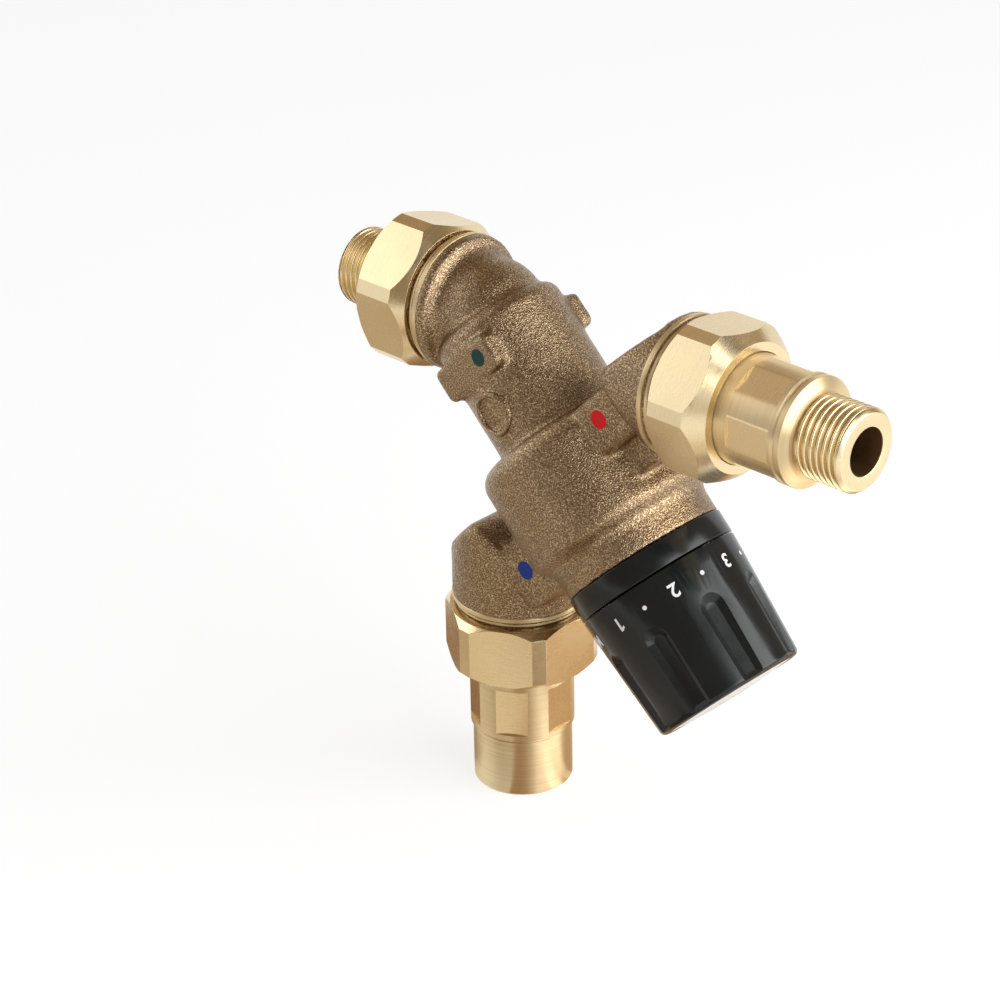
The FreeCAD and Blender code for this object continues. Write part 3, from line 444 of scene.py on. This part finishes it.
def makeCasting():
    piece = newObject("castBody", plainCopy("castBody", nodes["valve_body"].data))
    remesh = piece.modifiers.new("sandMould", "REMESH")
    remesh.mode = "VOXEL"
    remesh.voxel_size = casting["voxel"]
    mesh = applied(piece)
    points = readRows(mesh.vertices, "co", 3)
    edges = readRows(mesh.edges, "vertices", 2, np.int64)
    toBarrel = np.array(axes["barrel"].inverted())
    along = points @ toBarrel[2, :3] + toBarrel[2, 3]
    weights = np.clip((casting["keepFrom"] - along) / casting["keepBlend"] + 1.0, 0.0, 1.0)  # 0 at the collar
    points = relax(points, edges, weights, casting["rounds"], casting["strength"])
    points = relax(points, edges, weights * nearSaddle(points), casting["saddleRounds"], casting["strength"])
    mesh.vertices.foreach_set("co", points.ravel())
    mesh.update()
    outward = readRows(mesh.vertices, "normal", 3)
    spots = [Vector(spot) for spot in points]
    rise = relief(spots, casting["lumpScale"], casting["lumpHeight"])
    rise += relief(spots, casting["grainScale"], casting["grainHeight"])
    points += outward * (rise * weights)[:, None]
    mesh.vertices.foreach_set("co", points.ravel())
    mesh.polygons.foreach_set("use_smooth", np.ones(len(mesh.polygons), dtype=bool))
    mesh.update()
    mesh.materials.clear()
    mesh.materials.append(finishes["castBronze"])
    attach(piece, "valve")
    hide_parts("valve_body")
    return mesh


castMesh = makeCasting()
castTree = BVHTree.FromPolygons([vert.co for vert in castMesh.vertices],
                                [face.vertices for face in castMesh.polygons])
print("casting:", len(castMesh.polygons), "faces")

frontStand = 60.0  # mm before the barrel's axis, outside the casting
towardsFront = Vector((0, -1, 0))


def ontoFront(up, along, lift):  # the casting's front, across and along the barrel, raised by lift, in mm
    start = axes["barrel"] @ (Vector((-up, -frontStand, along)) * mm)
    return castTree.ray_cast(start, -towardsFront)[0] + towardsFront * lift * mm


raisedRing = {"along": 24.0, "radius": 5.2, "halfWidth": 0.8, "height": 0.85, "sink": 0.15, "steps": 72,
              "section": 12, "smooth": 80}


def makeRaisedRing():  # a soft bead on the front of the head
    points = []
    for step in range(raisedRing["steps"]):
        turn = fullTurn * step / raisedRing["steps"]
        for part in range(raisedRing["section"]):
            lean = fullTurn * part / raisedRing["section"]
            radius = raisedRing["radius"] + raisedRing["halfWidth"] * math.cos(lean)
            lift = raisedRing["height"] * math.sin(lean) - raisedRing["sink"]
            along = raisedRing["along"] + radius * math.cos(turn)
            points.append(ontoFront(radius * math.sin(turn), along, lift))
    mesh = outwardMesh("raisedRing", points, loopFaces(raisedRing["steps"], raisedRing["section"]))
    smoothByAngle(mesh, raisedRing["smooth"])
    linkPiece("raisedRing", mesh, finishes["castBronze"], "valve")


makeRaisedRing()

paintDots = {  # place on the barrel's axis and across it, in mm; the front faces look towards -Y
    "red": {"along": 41.3, "up": 28.0, "radius": 2.85},
    "blue": {"along": 59.3, "up": -25.7, "radius": 2.9},
    "green": {"along": 10.7, "up": 6.5, "radius": 2.6},
}
dotShape = {"rings": 5, "sectors": 40, "thick": 0.10, "skirt": 0.12, "wobble": 0.05, "flatness": 4,
            "smooth": 60}


def makeDot(colour, dot):
    rings, sectors = dotShape["rings"], dotShape["sectors"]
    points = [ontoFront(dot["up"], dot["along"], dotShape["thick"])]
    for ring in range(1, rings + 1):
        share = ring / rings
        lift = dotShape["thick"] * math.sqrt(1 - share ** dotShape["flatness"])
        if ring == rings:
            lift -= dotShape["skirt"]
        for sector in range(sectors):
            turn = fullTurn * sector / sectors
            ragged = noise.noise(Vector((math.cos(turn), math.sin(turn), dot["along"])))
            reach = dot["radius"] * share * (1 + dotShape["wobble"] * ragged)
            up = dot["up"] - reach * math.cos(turn)
            points.append(ontoFront(up, dot["along"] + reach * math.sin(turn), lift))
    faces = [(0, 1 + sector, 1 + (sector + 1) % sectors) for sector in range(sectors)]
    faces += [tuple(1 + index for index in face) for face in loopFaces(rings, sectors, closed=False)]
    mesh = outwardMesh(colour + "Dot", points, faces, facing=towardsFront)
    smoothByAngle(mesh, dotShape["smooth"])
    linkPiece(colour + "Dot", mesh, finishes[colour + "Paint"], "valve")


for colour, dot in paintDots.items():
    makeDot(colour, dot)
print("casting details done")


# turned pieces: rings of points about a port's axis, with spanner flats and threads; places and radii in mm
turned = {"steps": 120, "cornerSteps": 3, "cornerShare": 0.45, "straight": 175.0}
pipeThread = {"pitch": 1.814, "crest": 10.4775, "root": 9.35, "rowStep": 0.13, "rootFlat": 0.10, "flank": 0.74,
              "runOut": 1.6, "lead": 1.0}
flatsShape = {"half": 13.15, "round": 13.84, "count": 6, "milled": 13.80, "clear": 0.02}


def roundedCorner(near, radius):
    before, here, after = (Vector(spot) for spot in near)
    before, after = before - here, after - here
    turn = before.angle(after)
    if turn > math.radians(turned["straight"]):
        return [here]
    longest = min(before.length, after.length) * turned["cornerShare"]
    back = min(radius / math.tan(turn / 2), longest)
    start = here + before.normalized() * back
    end = here + after.normalized() * back
    shares = [step / turned["cornerSteps"] for step in range(turned["cornerSteps"] + 1)]
    return [start * (1 - t) ** 2 + here * 2 * t * (1 - t) + end * t * t for t in shares]


def threadRadius(along, turn, first, end):
    root, crest = pipeThread["root"], pipeThread["crest"]
    phase = ((along - first) / pipeThread["pitch"] - turn / fullTurn) % 1.0
    flank = (abs(2 * phase - 1) - pipeThread["rootFlat"]) / pipeThread["flank"]
    flank = min(1.0, max(0.0, flank))
    radius = root + (crest - root) * flank * flank * (3 - 2 * flank)
    runOut = root + max(0.0, along - first) * pipeThread["runOut"]
    return min(radius, runOut, crest - max(0.0, along - (end - pipeThread["lead"])))


def wrapped(turn):
    return (turn + math.pi) % fullTurn - math.pi


def closedRows(shape):  # (place along the axis, radius, kind) rows round the section
    outer = shape["outer"]
    corners = outer + shape.get("tip", []) + shape.get("inner", [])
    rows = []
    for index, corner in enumerate(corners):
        following = corners[(index + 1) % len(corners)]
        near = [corners[index - 1], corner, following]
        rows += [(spot.x, spot.y, "plain") for spot in roundedCorner(near, shape["edge"])]
        if "threadSpan" in shape and index == len(outer) - 1:
            first, last = shape["threadSpan"]
            count = round((last - first) / pipeThread["rowStep"])
            rows += [(first + (last - first) * step / count, 0.0, "thread") for step in range(count + 1)]
        if "flats" in shape and index < len(outer) and corner[1] == following[1]:
            low, high = shape["flats"]
            radius = corner[1]
            if corner[0] < low and following[0] > high:
                rows += [(low, radius, "plain"), (low, radius, "flat")]
                rows += [(high, radius, "flat"), (high, radius, "plain")]
    return rows


def flatNormals(shape):
    if "flats" not in shape:
        return []
    return [math.radians(shape["flatsTurn"]) + fullTurn * flat / flatsShape["count"]
            for flat in range(flatsShape["count"])]


def turnedMesh(name, axis, shape):
    turns = [fullTurn * step / turned["steps"] for step in range(turned["steps"])]
    normals = flatNormals(shape)
    halfAngle = math.acos(flatsShape["half"] / flatsShape["round"])
    for normal in normals:  # a column of points stands at each end of a flat
        turns = [turn for turn in turns
                 if abs(abs(wrapped(turn - normal)) - halfAngle) > flatsShape["clear"]]
        turns += [(normal - halfAngle) % fullTurn, (normal + halfAngle) % fullTurn]
    turns.sort()
    rows = closedRows(shape)
    points = []
    for along, radius, kind in rows:
        for turn in turns:
            reach = radius
            if kind == "thread":
                reach = threadRadius(along, turn, shape["threadSpan"][0], shape["tip"][-1][0])
            if kind == "flat":
                lean = min(abs(wrapped(turn - normal)) for normal in normals)
                reach = min(radius, flatsShape["half"] / math.cos(lean))
            points.append(roundAxis(axis, reach, turn, along))
    return outwardMesh(name, points, loopFaces(len(rows), len(turns)), weld=True)


tails = {
    "hot": {
        "node": "hot_tailpiece", "cut": "Ports", "edge": 0.3, "smooth": 50, "flats": (88.4, 101.0),
        "flatsTurn": 30.0, "threadSpan": (106.0, 119.2),
        "outer": [(79.5, 15.2), (83.0, 15.2), (83.0, 13.84), (101.8, 13.84), (102.5, 13.34), (103.2, 13.84),
                  (104.4, 13.84), (105.6, 11.2), (105.6, 9.3), (106.4, 9.3)],
        "tip": [(118.6, 10.4), (119.5, 9.5)],
        "inner": [(119.5, 6.0), (103.2, 6.0), (99.2, 8.5), (79.5, 8.5)]},
    "mixed": {
        "node": "mixed_tailpiece", "cut": "Ports", "edge": 0.3, "smooth": 50, "threadSpan": (31.9, 45.8),
        "outer": [(24.6, 15.2), (28.1, 15.2), (28.1, 13.84), (31.5, 13.84), (31.5, 9.5), (32.2, 9.5)],
        "tip": [(45.2, 10.4), (46.1, 9.5)],
        "inner": [(46.1, 6.0), (31.5, 6.0), (27.5, 8.5), (24.6, 8.5)]},
    "cold": {
        "node": "cold_tailpiece", "cut": "Foot", "edge": 0.15, "smooth": 16, "flats": (100.5, 113.8),
        "flatsTurn": 58.5,
        "outer": [(91.0, 15.2), (94.5, 15.2), (94.5, 13.84), (115.4, 13.84), (115.4, 12.85), (116.1, 12.85),
                  (116.3, 13.2), (132.1, 13.2)],
        "tip": [(132.6, 12.7)],
        "inner": [(132.6, 11.05), (117.1, 11.05), (117.1, 8.5), (91.0, 8.5)]},
}
boreLean = -0.3  # a face that looks inward at least this much belongs to the bore


def isMilled(spot, shape):  # threads and spanner flats carry straight cutter marks
    if "threadSpan" in shape and spot.z > shape["threadSpan"][0] * mm:
        return True
    low, high = shape.get("flats", (0.0, 0.0))
    return low * mm < spot.z < high * mm and math.hypot(spot.x, spot.y) < flatsShape["milled"] * mm


def makeTail(port, shape):
    mesh = turnedMesh(port + "Tail", port, shape)
    smoothByAngle(mesh, shape["smooth"])
    piece = linkPiece(port + "Tail", mesh, finishes["turnedBrass" + shape["cut"]], "valve")
    mesh.materials.append(finishes["satinBrass" + shape["cut"]])
    mesh.materials.append(finishes["dullBoreAndGapShade"])
    toAxis = axes[port].inverted()
    for face in mesh.polygons:
        spot = toAxis @ face.center
        outward = toAxis.to_3x3() @ face.normal
        if outward.x * spot.x + outward.y * spot.y < boreLean * math.hypot(spot.x, spot.y):
            face.material_index = 2
        elif isMilled(spot, shape):
            face.material_index = 1
    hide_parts(shape["node"])


for port, shape in tails.items():
    makeTail(port, shape)

portNecks = {"hot": 65.5, "mixed": 10.6, "cold": 77.0}
neckRing = {"rim": 17.25, "rimLength": 1.7, "thread": 16.62, "face": 12.0, "inner": 15.5, "edge": 0.25,
            "bandFrom": -1.0, "bandTo": 0.3, "band": 17.95, "smooth": 40}


def makeNeckRing(port, neck):  # the turned end of a hood, under its nut
    bandFrom, bandTo = neck + neckRing["bandFrom"], neck + neckRing["bandTo"]
    rimEnd, face = neck + neckRing["rimLength"], neck + neckRing["face"]
    outer = [(bandFrom, neckRing["inner"]), (bandFrom, neckRing["band"]), (bandTo, neckRing["band"]),
             (bandTo, neckRing["rim"]), (rimEnd, neckRing["rim"]), (rimEnd, neckRing["thread"]),
             (face, neckRing["thread"]), (face, neckRing["inner"])]
    mesh = turnedMesh(port + "NeckRing", port, {"edge": neckRing["edge"], "outer": outer})
    smoothByAngle(mesh, neckRing["smooth"])
    finish = finishes["turnedBrass" + tails[port]["cut"]]
    linkPiece(port + "NeckRing", mesh, finish, "valve")


for port, neck in portNecks.items():
    makeNeckRing(port, neck)
print("turned pieces done")


# nuts, collar, knob: the CAD forms with their edges broken, widths in mm
softEdges = {
    "hot_union_nut": {"piece": "hotNut", "width": 0.22, "limit": 12, "flatFaced": True,
                      "body": "valve", "slot": "satin_brass", "finish": "satinBrassPorts"},
    "mixed_union_nut": {"piece": "mixedNut", "width": 0.22, "limit": 12, "flatFaced": True,
                        "body": "valve", "slot": "satin_brass", "finish": "satinBrassPorts"},
    "cold_union_nut": {"piece": "coldNut", "width": 0.22, "limit": 12, "flatFaced": True,
                       "body": "valve", "slot": "satin_brass", "finish": "satinBrassFoot"},
    "index_collar": {"piece": "collarRing", "width": 0.30, "limit": 30, "flatFaced": False,
                     "body": "valve", "slot": "black_plastic", "finish": "blackMoulding"},
    "setting_knob": {"piece": "knobCap", "width": 0.65, "limit": 24, "flatFaced": False,
                     "body": "knob", "slot": "black_plastic", "finish": "blackMoulding"},
}
brokenEdge = {"segments": 3, "flatLimit": 0.6, "smooth": 30}


def softened(nodeName, look):
    mesh = plainCopy(look["piece"], nodes[nodeName].data)
    bm = bmesh.new()
    bm.from_mesh(mesh)
    flatLimit = math.radians(brokenEdge["flatLimit"])
    bmesh.ops.dissolve_limit(bm, angle_limit=flatLimit, verts=bm.verts, edges=bm.edges)
    bm.to_mesh(mesh)
    bm.free()
    piece = linkPiece(look["piece"], mesh, finishes[look["finish"]], look["body"])
    bevel = piece.modifiers.new("brokenEdges", "BEVEL")
    bevel.limit_method = "ANGLE"
    bevel.angle_limit = math.radians(look["limit"])
    bevel.width = look["width"] * mm
    bevel.segments = brokenEdge["segments"]
    bevel.use_clamp_overlap = True
    smoothByAngle(applied(piece), brokenEdge["smooth"])
    if look["flatFaced"]:
        even = piece.modifiers.new("evenNormals", "WEIGHTED_NORMAL")
        even.keep_sharp = True
        applied(piece)
    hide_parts(nodeName)
    print("softened", piece.name, len(piece.data.polygons))


for nodeName, look in softEdges.items():
    softened(nodeName, look)

endDisc = {"radius": 17.9, "back": 112.4, "rim": 113.6, "crown": 0.9, "edge": 0.2, "steps": 8, "smooth": 30}


def makeEndDisc():  # a white disc with a faint crown, pressed into the end of the knob
    radius, rim = endDisc["radius"], endDisc["rim"]
    shares = [1 - step / endDisc["steps"] for step in range(1, endDisc["steps"] + 1)]
    outer = [(endDisc["back"], 0.0), (endDisc["back"], radius), (rim, radius)]
    outer += [(rim + endDisc["crown"] * (1 - share ** 2), radius * share) for share in shares]
    mesh = turnedMesh("endDisc", "barrel", {"edge": endDisc["edge"], "outer": outer})
    smoothByAngle(mesh, endDisc["smooth"])
    piece = linkPiece("endDisc", mesh, finishes["whiteDisc"], "knob")
    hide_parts("dial_disc")


makeEndDisc()

returnSpring = {"radius": 9.6, "wire": 0.7, "seat": 25.0, "hub": 48.0, "turns": 6, "turnSteps": 48,
                "section": 16, "smooth": 50}
springHalves = {  # the spring is drawn in two halves, three turns each
    "springSeatHalf": {"turns": (0, 3), "bodies": ("valve", "carrier")},
    "springHubHalf": {"turns": (3, 6), "bodies": ("carrier", "piston")},
}


def makeSpringHalf(name, half):
    wire, count = returnSpring["wire"], returnSpring["section"]
    low = returnSpring["seat"] + wire
    pitch = (returnSpring["hub"] - wire - low) / returnSpring["turns"]
    first, last = half["turns"]
    steps = (last - first) * returnSpring["turnSteps"]
    points = []
    for step in range(steps + 1):
        turns = first + step / returnSpring["turnSteps"]
        for part in range(count):
            lean = fullTurn * part / count
            reach = returnSpring["radius"] + wire * math.cos(lean)
            along = low + pitch * turns + wire * math.sin(lean)
            points.append(roundAxis("barrel", reach, fullTurn * turns, along))
    faces = loopFaces(steps + 1, count, closed=False)
    faces.append(tuple(range(count)))
    faces.append(tuple(range(steps * count, (steps + 1) * count)))
    mesh = outwardMesh(name, points, faces)
    smoothByAngle(mesh, returnSpring["smooth"])
    mesh.materials.append(finishes["springSteel"])
    piece = newObject(name, mesh)
    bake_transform(piece)
    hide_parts("return_spring")


for name, half in springHalves.items():
    makeSpringHalf(name, half)
print("return spring done")


# the print on the knob's cone: places in steps of the scale, from the figure 1
scale = {"start": 79.8, "startRadius": 21.87, "endRadius": 19.9, "length": 34.0, "along": 85.3, "height": 3.5,
         "wordShare": 0.86, "capitalShare": 0.70, "bold": 0.10, "textSteps": 4, "first": 261.9, "step": 45.0,
         "dotRadius": 0.58, "dotSteps": 24, "thick": 0.05, "lift": 0.02, "weld": 1e-5}
scaleMarks = {"1": 0, "2": 1, "3": 2, "4": 3, "5": 4, "MAX": 4.9, "MIN": -0.88}
scaleDots = [0.5, 1.5, 2.5, 3.5]
figureOne = [(0.0, -1.75), (0.62, -1.75), (0.62, 1.75), (0.05, 1.75), (-0.85, 1.22), (-0.85, 0.60),
             (0.0, 1.06)]


def onKnob(around, along, lift, place):
    share = (along - scale["start"]) / scale["length"]
    radius = scale["startRadius"] - (scale["startRadius"] - scale["endRadius"]) * share
    turn = math.radians(scale["first"] - scale["step"] * place) + around / radius
    return roundAxis("barrel", radius + lift, turn, along)


def textOutline(words):  # flat points and faces of the lettering
    height = scale["height"] if len(words) == 1 else scale["height"] * scale["wordShare"]
    curve = bpy.data.curves.new("scaleText", "FONT")
    curve.body = words
    curve.align_x = "CENTER"
    curve.align_y = "CENTER"
    curve.size = height / scale["capitalShare"]
    curve.offset = scale["bold"]
    curve.resolution_u = scale["textSteps"]
    holder = newObject("scaleText", curve)
    bpy.context.view_layer.update()
    mesh = bpy.data.meshes.new_from_object(holder.evaluated_get(bpy.context.evaluated_depsgraph_get()))
    bpy.data.objects.remove(holder)
    points = [(vert.co.x, vert.co.y) for vert in mesh.vertices]
    return points, [list(face.vertices) for face in mesh.polygons]


def addPrint(bm, flat, faces, place):  # thickens a flat outline and wraps it on the knob
    sheet = bmesh.new()
    verts = [sheet.verts.new((x, y, 0.0)) for x, y in flat]
    for face in faces:
        sheet.faces.new([verts[index] for index in face])
    bmesh.ops.remove_doubles(sheet, verts=sheet.verts, dist=scale["weld"])
    grown = bmesh.ops.extrude_face_region(sheet, geom=sheet.faces[:])
    for item in grown["geom"]:
        if isinstance(item, bmesh.types.BMVert):
            item.co.z = scale["thick"]
    sheet.verts.index_update()
    made = [bm.verts.new(onKnob(vert.co.x, scale["along"] + vert.co.y, scale["lift"] + vert.co.z, place))
            for vert in sheet.verts]
    for face in sheet.faces:
        bm.faces.new([made[vert.index] for vert in face.verts])
    sheet.free()


def makeScale():
    bm = bmesh.new()
    for words, place in scaleMarks.items():
        if words == "1":
            addPrint(bm, figureOne, [range(len(figureOne))], place)
        else:
            addPrint(bm, *textOutline(words), place)
    turns = [fullTurn * step / scale["dotSteps"] for step in range(scale["dotSteps"])]
    ring = [(scale["dotRadius"] * math.cos(turn), scale["dotRadius"] * math.sin(turn)) for turn in turns]
    for place in scaleDots:
        addPrint(bm, ring, [range(len(ring))], place)
    bmesh.ops.recalc_face_normals(bm, faces=bm.faces)
    mesh = bpy.data.meshes.new("scalePrint")
    bm.to_mesh(mesh)
    bm.free()
    linkPiece("scalePrint", mesh, finishes["whitePrint"], "knob")


makeScale()

indexMark = {"turn": 81.9, "from": 75.6, "to": 78.9, "width": 0.9, "radius": 21.9, "thick": 0.06, "sink": 0.02}


def makeIndexMark():  # the line on the collar that the scale is read against
    bm = bmesh.new()
    half = indexMark["width"] / 2 / indexMark["radius"]
    for lift in (-indexMark["sink"], indexMark["thick"]):
        for side in (-1, 0, 1):
            for along in (indexMark["from"], indexMark["to"]):
                turn = math.radians(indexMark["turn"]) + side * half
                bm.verts.new(roundAxis("barrel", indexMark["radius"] + lift, turn, along))
    bmesh.ops.convex_hull(bm, input=bm.verts)
    mesh = bpy.data.meshes.new("indexMark")
    bm.to_mesh(mesh)
    bm.free()
    linkPiece("indexMark", mesh, finishes["whitePrint"], "valve")


makeIndexMark()
print("scale done")


view = {"place": (513.12, -533.18, 464.93), "turn": (62.635, 1.057, 43.733), "lens": 116.17, "sensor": 36.0,
        "clipStart": 0.01, "clipEnd": 50.0}


def makeCamera():
    data = bpy.data.cameras.new("photoView")
    data.lens = view["lens"]
    data.sensor_width = view["sensor"]
    data.clip_start = view["clipStart"]
    data.clip_end = view["clipEnd"]
    camera = newObject("photoView", data)
    turn = Euler([math.radians(angle) for angle in view["turn"]])
    camera.matrix_world = Matrix.Translation(Vector(view["place"]) * mm) @ turn.to_matrix().to_4x4()
    bpy.context.scene.camera = camera


makeCamera()

room = {"floorSize": (6.0, 6.0), "floorColour": 0.80, "floorGlow": 0.70, "floorShade": 0.42, "worldFill": 0.42,
        "worldSeen": 1.0}


def sheetFaces(size):
    wide, high = size[0] / 2, size[1] / 2
    return [(-wide, -high, 0), (wide, -high, 0), (wide, high, 0), (-wide, high, 0)], [], [(0, 1, 2, 3)]


def mixBySight(tree, lit, seen, output):  # what camera, glossy and transmission rays see, and what gives light
    path = tree.nodes.new("ShaderNodeLightPath").outputs
    looked = mathNode(tree, "MAXIMUM", path["Is Camera Ray"], path["Is Glossy Ray"])
    looked = mathNode(tree, "MAXIMUM", looked, path["Is Transmission Ray"])
    mix = tree.nodes.new("ShaderNodeMixShader")
    for place, value in enumerate((looked, lit, seen)):
        tree.links.new(value, mix.inputs[place])
    tree.links.new(mix.outputs[0], tree.nodes.new(output).inputs["Surface"])


def makeFloor():
    mesh = bpy.data.meshes.new("floor")
    mesh.from_pydata(*sheetFaces(room["floorSize"]))
    material = bpy.data.materials.new("paleFloor")
    tree = clearTree(material)
    plain = addNode(tree, "ShaderNodeBsdfDiffuse", Color=(room["floorColour"],) * 3 + (1.0,))
    shade = addNode(tree, "ShaderNodeBsdfDiffuse", Color=(room["floorShade"],) * 3 + (1.0,))
    glow = addNode(tree, "ShaderNodeEmission", Strength=room["floorGlow"])
    seen = tree.nodes.new("ShaderNodeAddShader")
    tree.links.new(shade.outputs[0], seen.inputs[0])
    tree.links.new(glow.outputs[0], seen.inputs[1])
    mixBySight(tree, plain.outputs[0], seen.outputs[0], "ShaderNodeOutputMaterial")
    mesh.materials.append(material)
    newObject("floor", mesh)


def makeWorld():
    world = bpy.data.worlds.new("studio")
    bpy.context.scene.world = world
    tree = clearTree(world)
    white = (1.0, 1.0, 1.0, 1.0)
    fill = addNode(tree, "ShaderNodeBackground", Color=white, Strength=room["worldFill"])
    seen = addNode(tree, "ShaderNodeBackground", Color=white, Strength=room["worldSeen"])
    mixBySight(tree, fill.outputs[0], seen.outputs[0], "ShaderNodeOutputWorld")


# lamps and cards stand round the valve: azimuth and elevation in degrees, reach and size in metres
lamps = {
    "keyBox": {"azimuth": 12.0, "elevation": 18.0, "reach": 0.95, "size": (1.25, 0.68), "power": 11.0},
    "highBox": {"azimuth": 3.0, "elevation": 50.0, "reach": 0.93, "size": (0.24, 0.16), "power": 0.36},
    "leftFill": {"azimuth": -152.0, "elevation": 28.0, "reach": 1.0, "size": (0.5, 0.5), "power": 0.8},
}
flags = {  # warm dark cards that only the metal and the plastic see
    "frontFlag": {"azimuth": -76.0, "elevation": 20.0, "reach": 1.05, "size": (1.50, 1.25),
                  "shade": (0.27, 0.21, 0.15)},
    "sideFlag": {"azimuth": 66.0, "elevation": 26.0, "reach": 1.05, "size": (0.60, 1.05),
                 "shade": (0.36, 0.275, 0.19)},
    "backFlag": {"azimuth": 151.0, "elevation": 40.0, "reach": 1.05, "size": (0.95, 0.65),
                 "shade": (0.38, 0.27, 0.17)},
}
lyingFlags = {  # cards that lie flat, on the floor or overhead: the middle's place and the size in metres
    "topFlag": {"place": (0.15, 0.05, 1.15), "size": (1.80, 2.00), "shade": (0.25, 0.195, 0.14)},
    "noseFlag": {"place": (0.880, 0.050, 1.140), "size": (0.56, 1.60), "shade": (0.03, 0.022, 0.015)},
    "leftTop": {"place": (-0.620, 0.000, 1.148), "size": (0.40, 1.60), "shade": (0.62, 0.49, 0.37)},
    "frontFloor": {"place": (-0.17, -0.20, 0.0004), "size": (0.36, 0.34), "shade": (0.68, 0.59, 0.47)},
    "paleFloor": {"place": (0.11, -0.20, 0.0003), "size": (0.20, 0.34), "shade": (0.84, 0.75, 0.62)},
    "underFloor": {"place": (-0.06, 0.02, 0.0005), "size": (0.09, 0.08), "shade": (0.28, 0.16, 0.085)},
    "knobFloor": {"place": (0.080, -0.125, 0.0008), "size": (0.09, 0.07), "shade": (0.30, 0.22, 0.15)},
    "castFloor": {"place": (-0.115, -0.105, 0.0009), "size": (0.17, 0.11), "shade": (0.53, 0.44, 0.33)},
    "hoodFloor": {"place": (0.090, -0.055, 0.0009), "size": (0.09, 0.07), "shade": (0.32, 0.24, 0.16)},
    "glowFloor": {"place": (0.180, 0.065, 0.0009), "size": (0.13, 0.13), "shade": (1.90, 1.75, 1.50)},
    "sideFloor": {"place": (0.081, 0.081, 0.0007), "size": (0.17, 0.09), "turn": 45.0,
                  "shade": (0.60, 0.41, 0.25)},
}
footFans = {  # wedges on the floor round the foot, between two azimuths
    "fanWarm": {"fan": (-64.0, -11.0), "shade": (0.50, 0.33, 0.20)},
    "fanBright": {"fan": (-7.0, 7.0), "shade": (1.25, 1.12, 0.92)},
    "fanMiddle": {"fan": (7.0, 18.0), "shade": (0.72, 0.56, 0.38)},
    "fanLight": {"fan": (18.0, 31.0), "shade": (1.15, 1.02, 0.82)},
    "fanCopper": {"fan": (33.0, 115.0), "shade": (0.58, 0.40, 0.24)},
}
fanShape = {"inner": 0.0128, "outer": 0.075, "height": 0.0006, "steps": 12}
aim = Vector((0.015, 0.0, 0.085))


def standing(spot):
    turn, rise = math.radians(spot["azimuth"]), math.radians(spot["elevation"])
    away = Vector((math.cos(turn) * math.cos(rise), math.sin(turn) * math.cos(rise), math.sin(rise)))
    facing = (-away).to_track_quat("-Z", "Y").to_matrix().to_4x4()
    return Matrix.Translation(aim + away * spot["reach"]) @ facing


def lying(spot):
    return Matrix.Translation(spot["place"]) @ Matrix.Rotation(math.radians(spot.get("turn", 0.0)), 4, "Z")


def makeLamps():
    for name, lamp in lamps.items():
        data = bpy.data.lights.new(name, "AREA")
        data.shape = "RECTANGLE"
        data.size, data.size_y = lamp["size"]
        data.energy = lamp["power"]
        newObject(name, data).matrix_world = standing(lamp)


def fanFaces(span):
    points, faces = [], []
    first, last = (math.radians(turn) for turn in span)
    for step in range(fanShape["steps"] + 1):
        turn = first + (last - first) * step / fanShape["steps"]
        for reach in (fanShape["inner"], fanShape["outer"]):
            points.append((reach * math.cos(turn), reach * math.sin(turn), fanShape["height"]))
    for step in range(fanShape["steps"]):
        faces.append((2 * step, 2 * step + 1, 2 * step + 3, 2 * step + 2))
    return points, [], faces


def makeFlags():
    for name, flag in {**flags, **lyingFlags, **footFans}.items():
        mesh = bpy.data.meshes.new(name)
        mesh.from_pydata(*(fanFaces(flag["fan"]) if "fan" in flag else sheetFaces(flag["size"])))
        material = bpy.data.materials.new(name)
        tree = clearTree(material)
        glow = addNode(tree, "ShaderNodeEmission", Color=(*flag["shade"], 1.0), Strength=1.0)
        output = tree.nodes.new("ShaderNodeOutputMaterial")
        tree.links.new(glow.outputs[0], output.inputs["Surface"])
        mesh.materials.append(material)
        card = newObject(name, mesh)
        if "fan" not in flag:
            card.matrix_world = standing(flag) if "reach" in flag else lying(flag)
        card.visible_camera = False
        card.visible_diffuse = False
        card.visible_shadow = False


makeFloor()
makeWorld()
makeLamps()
makeFlags()
bpy.context.scene.view_settings.view_transform = "Standard"
print("studio ready")
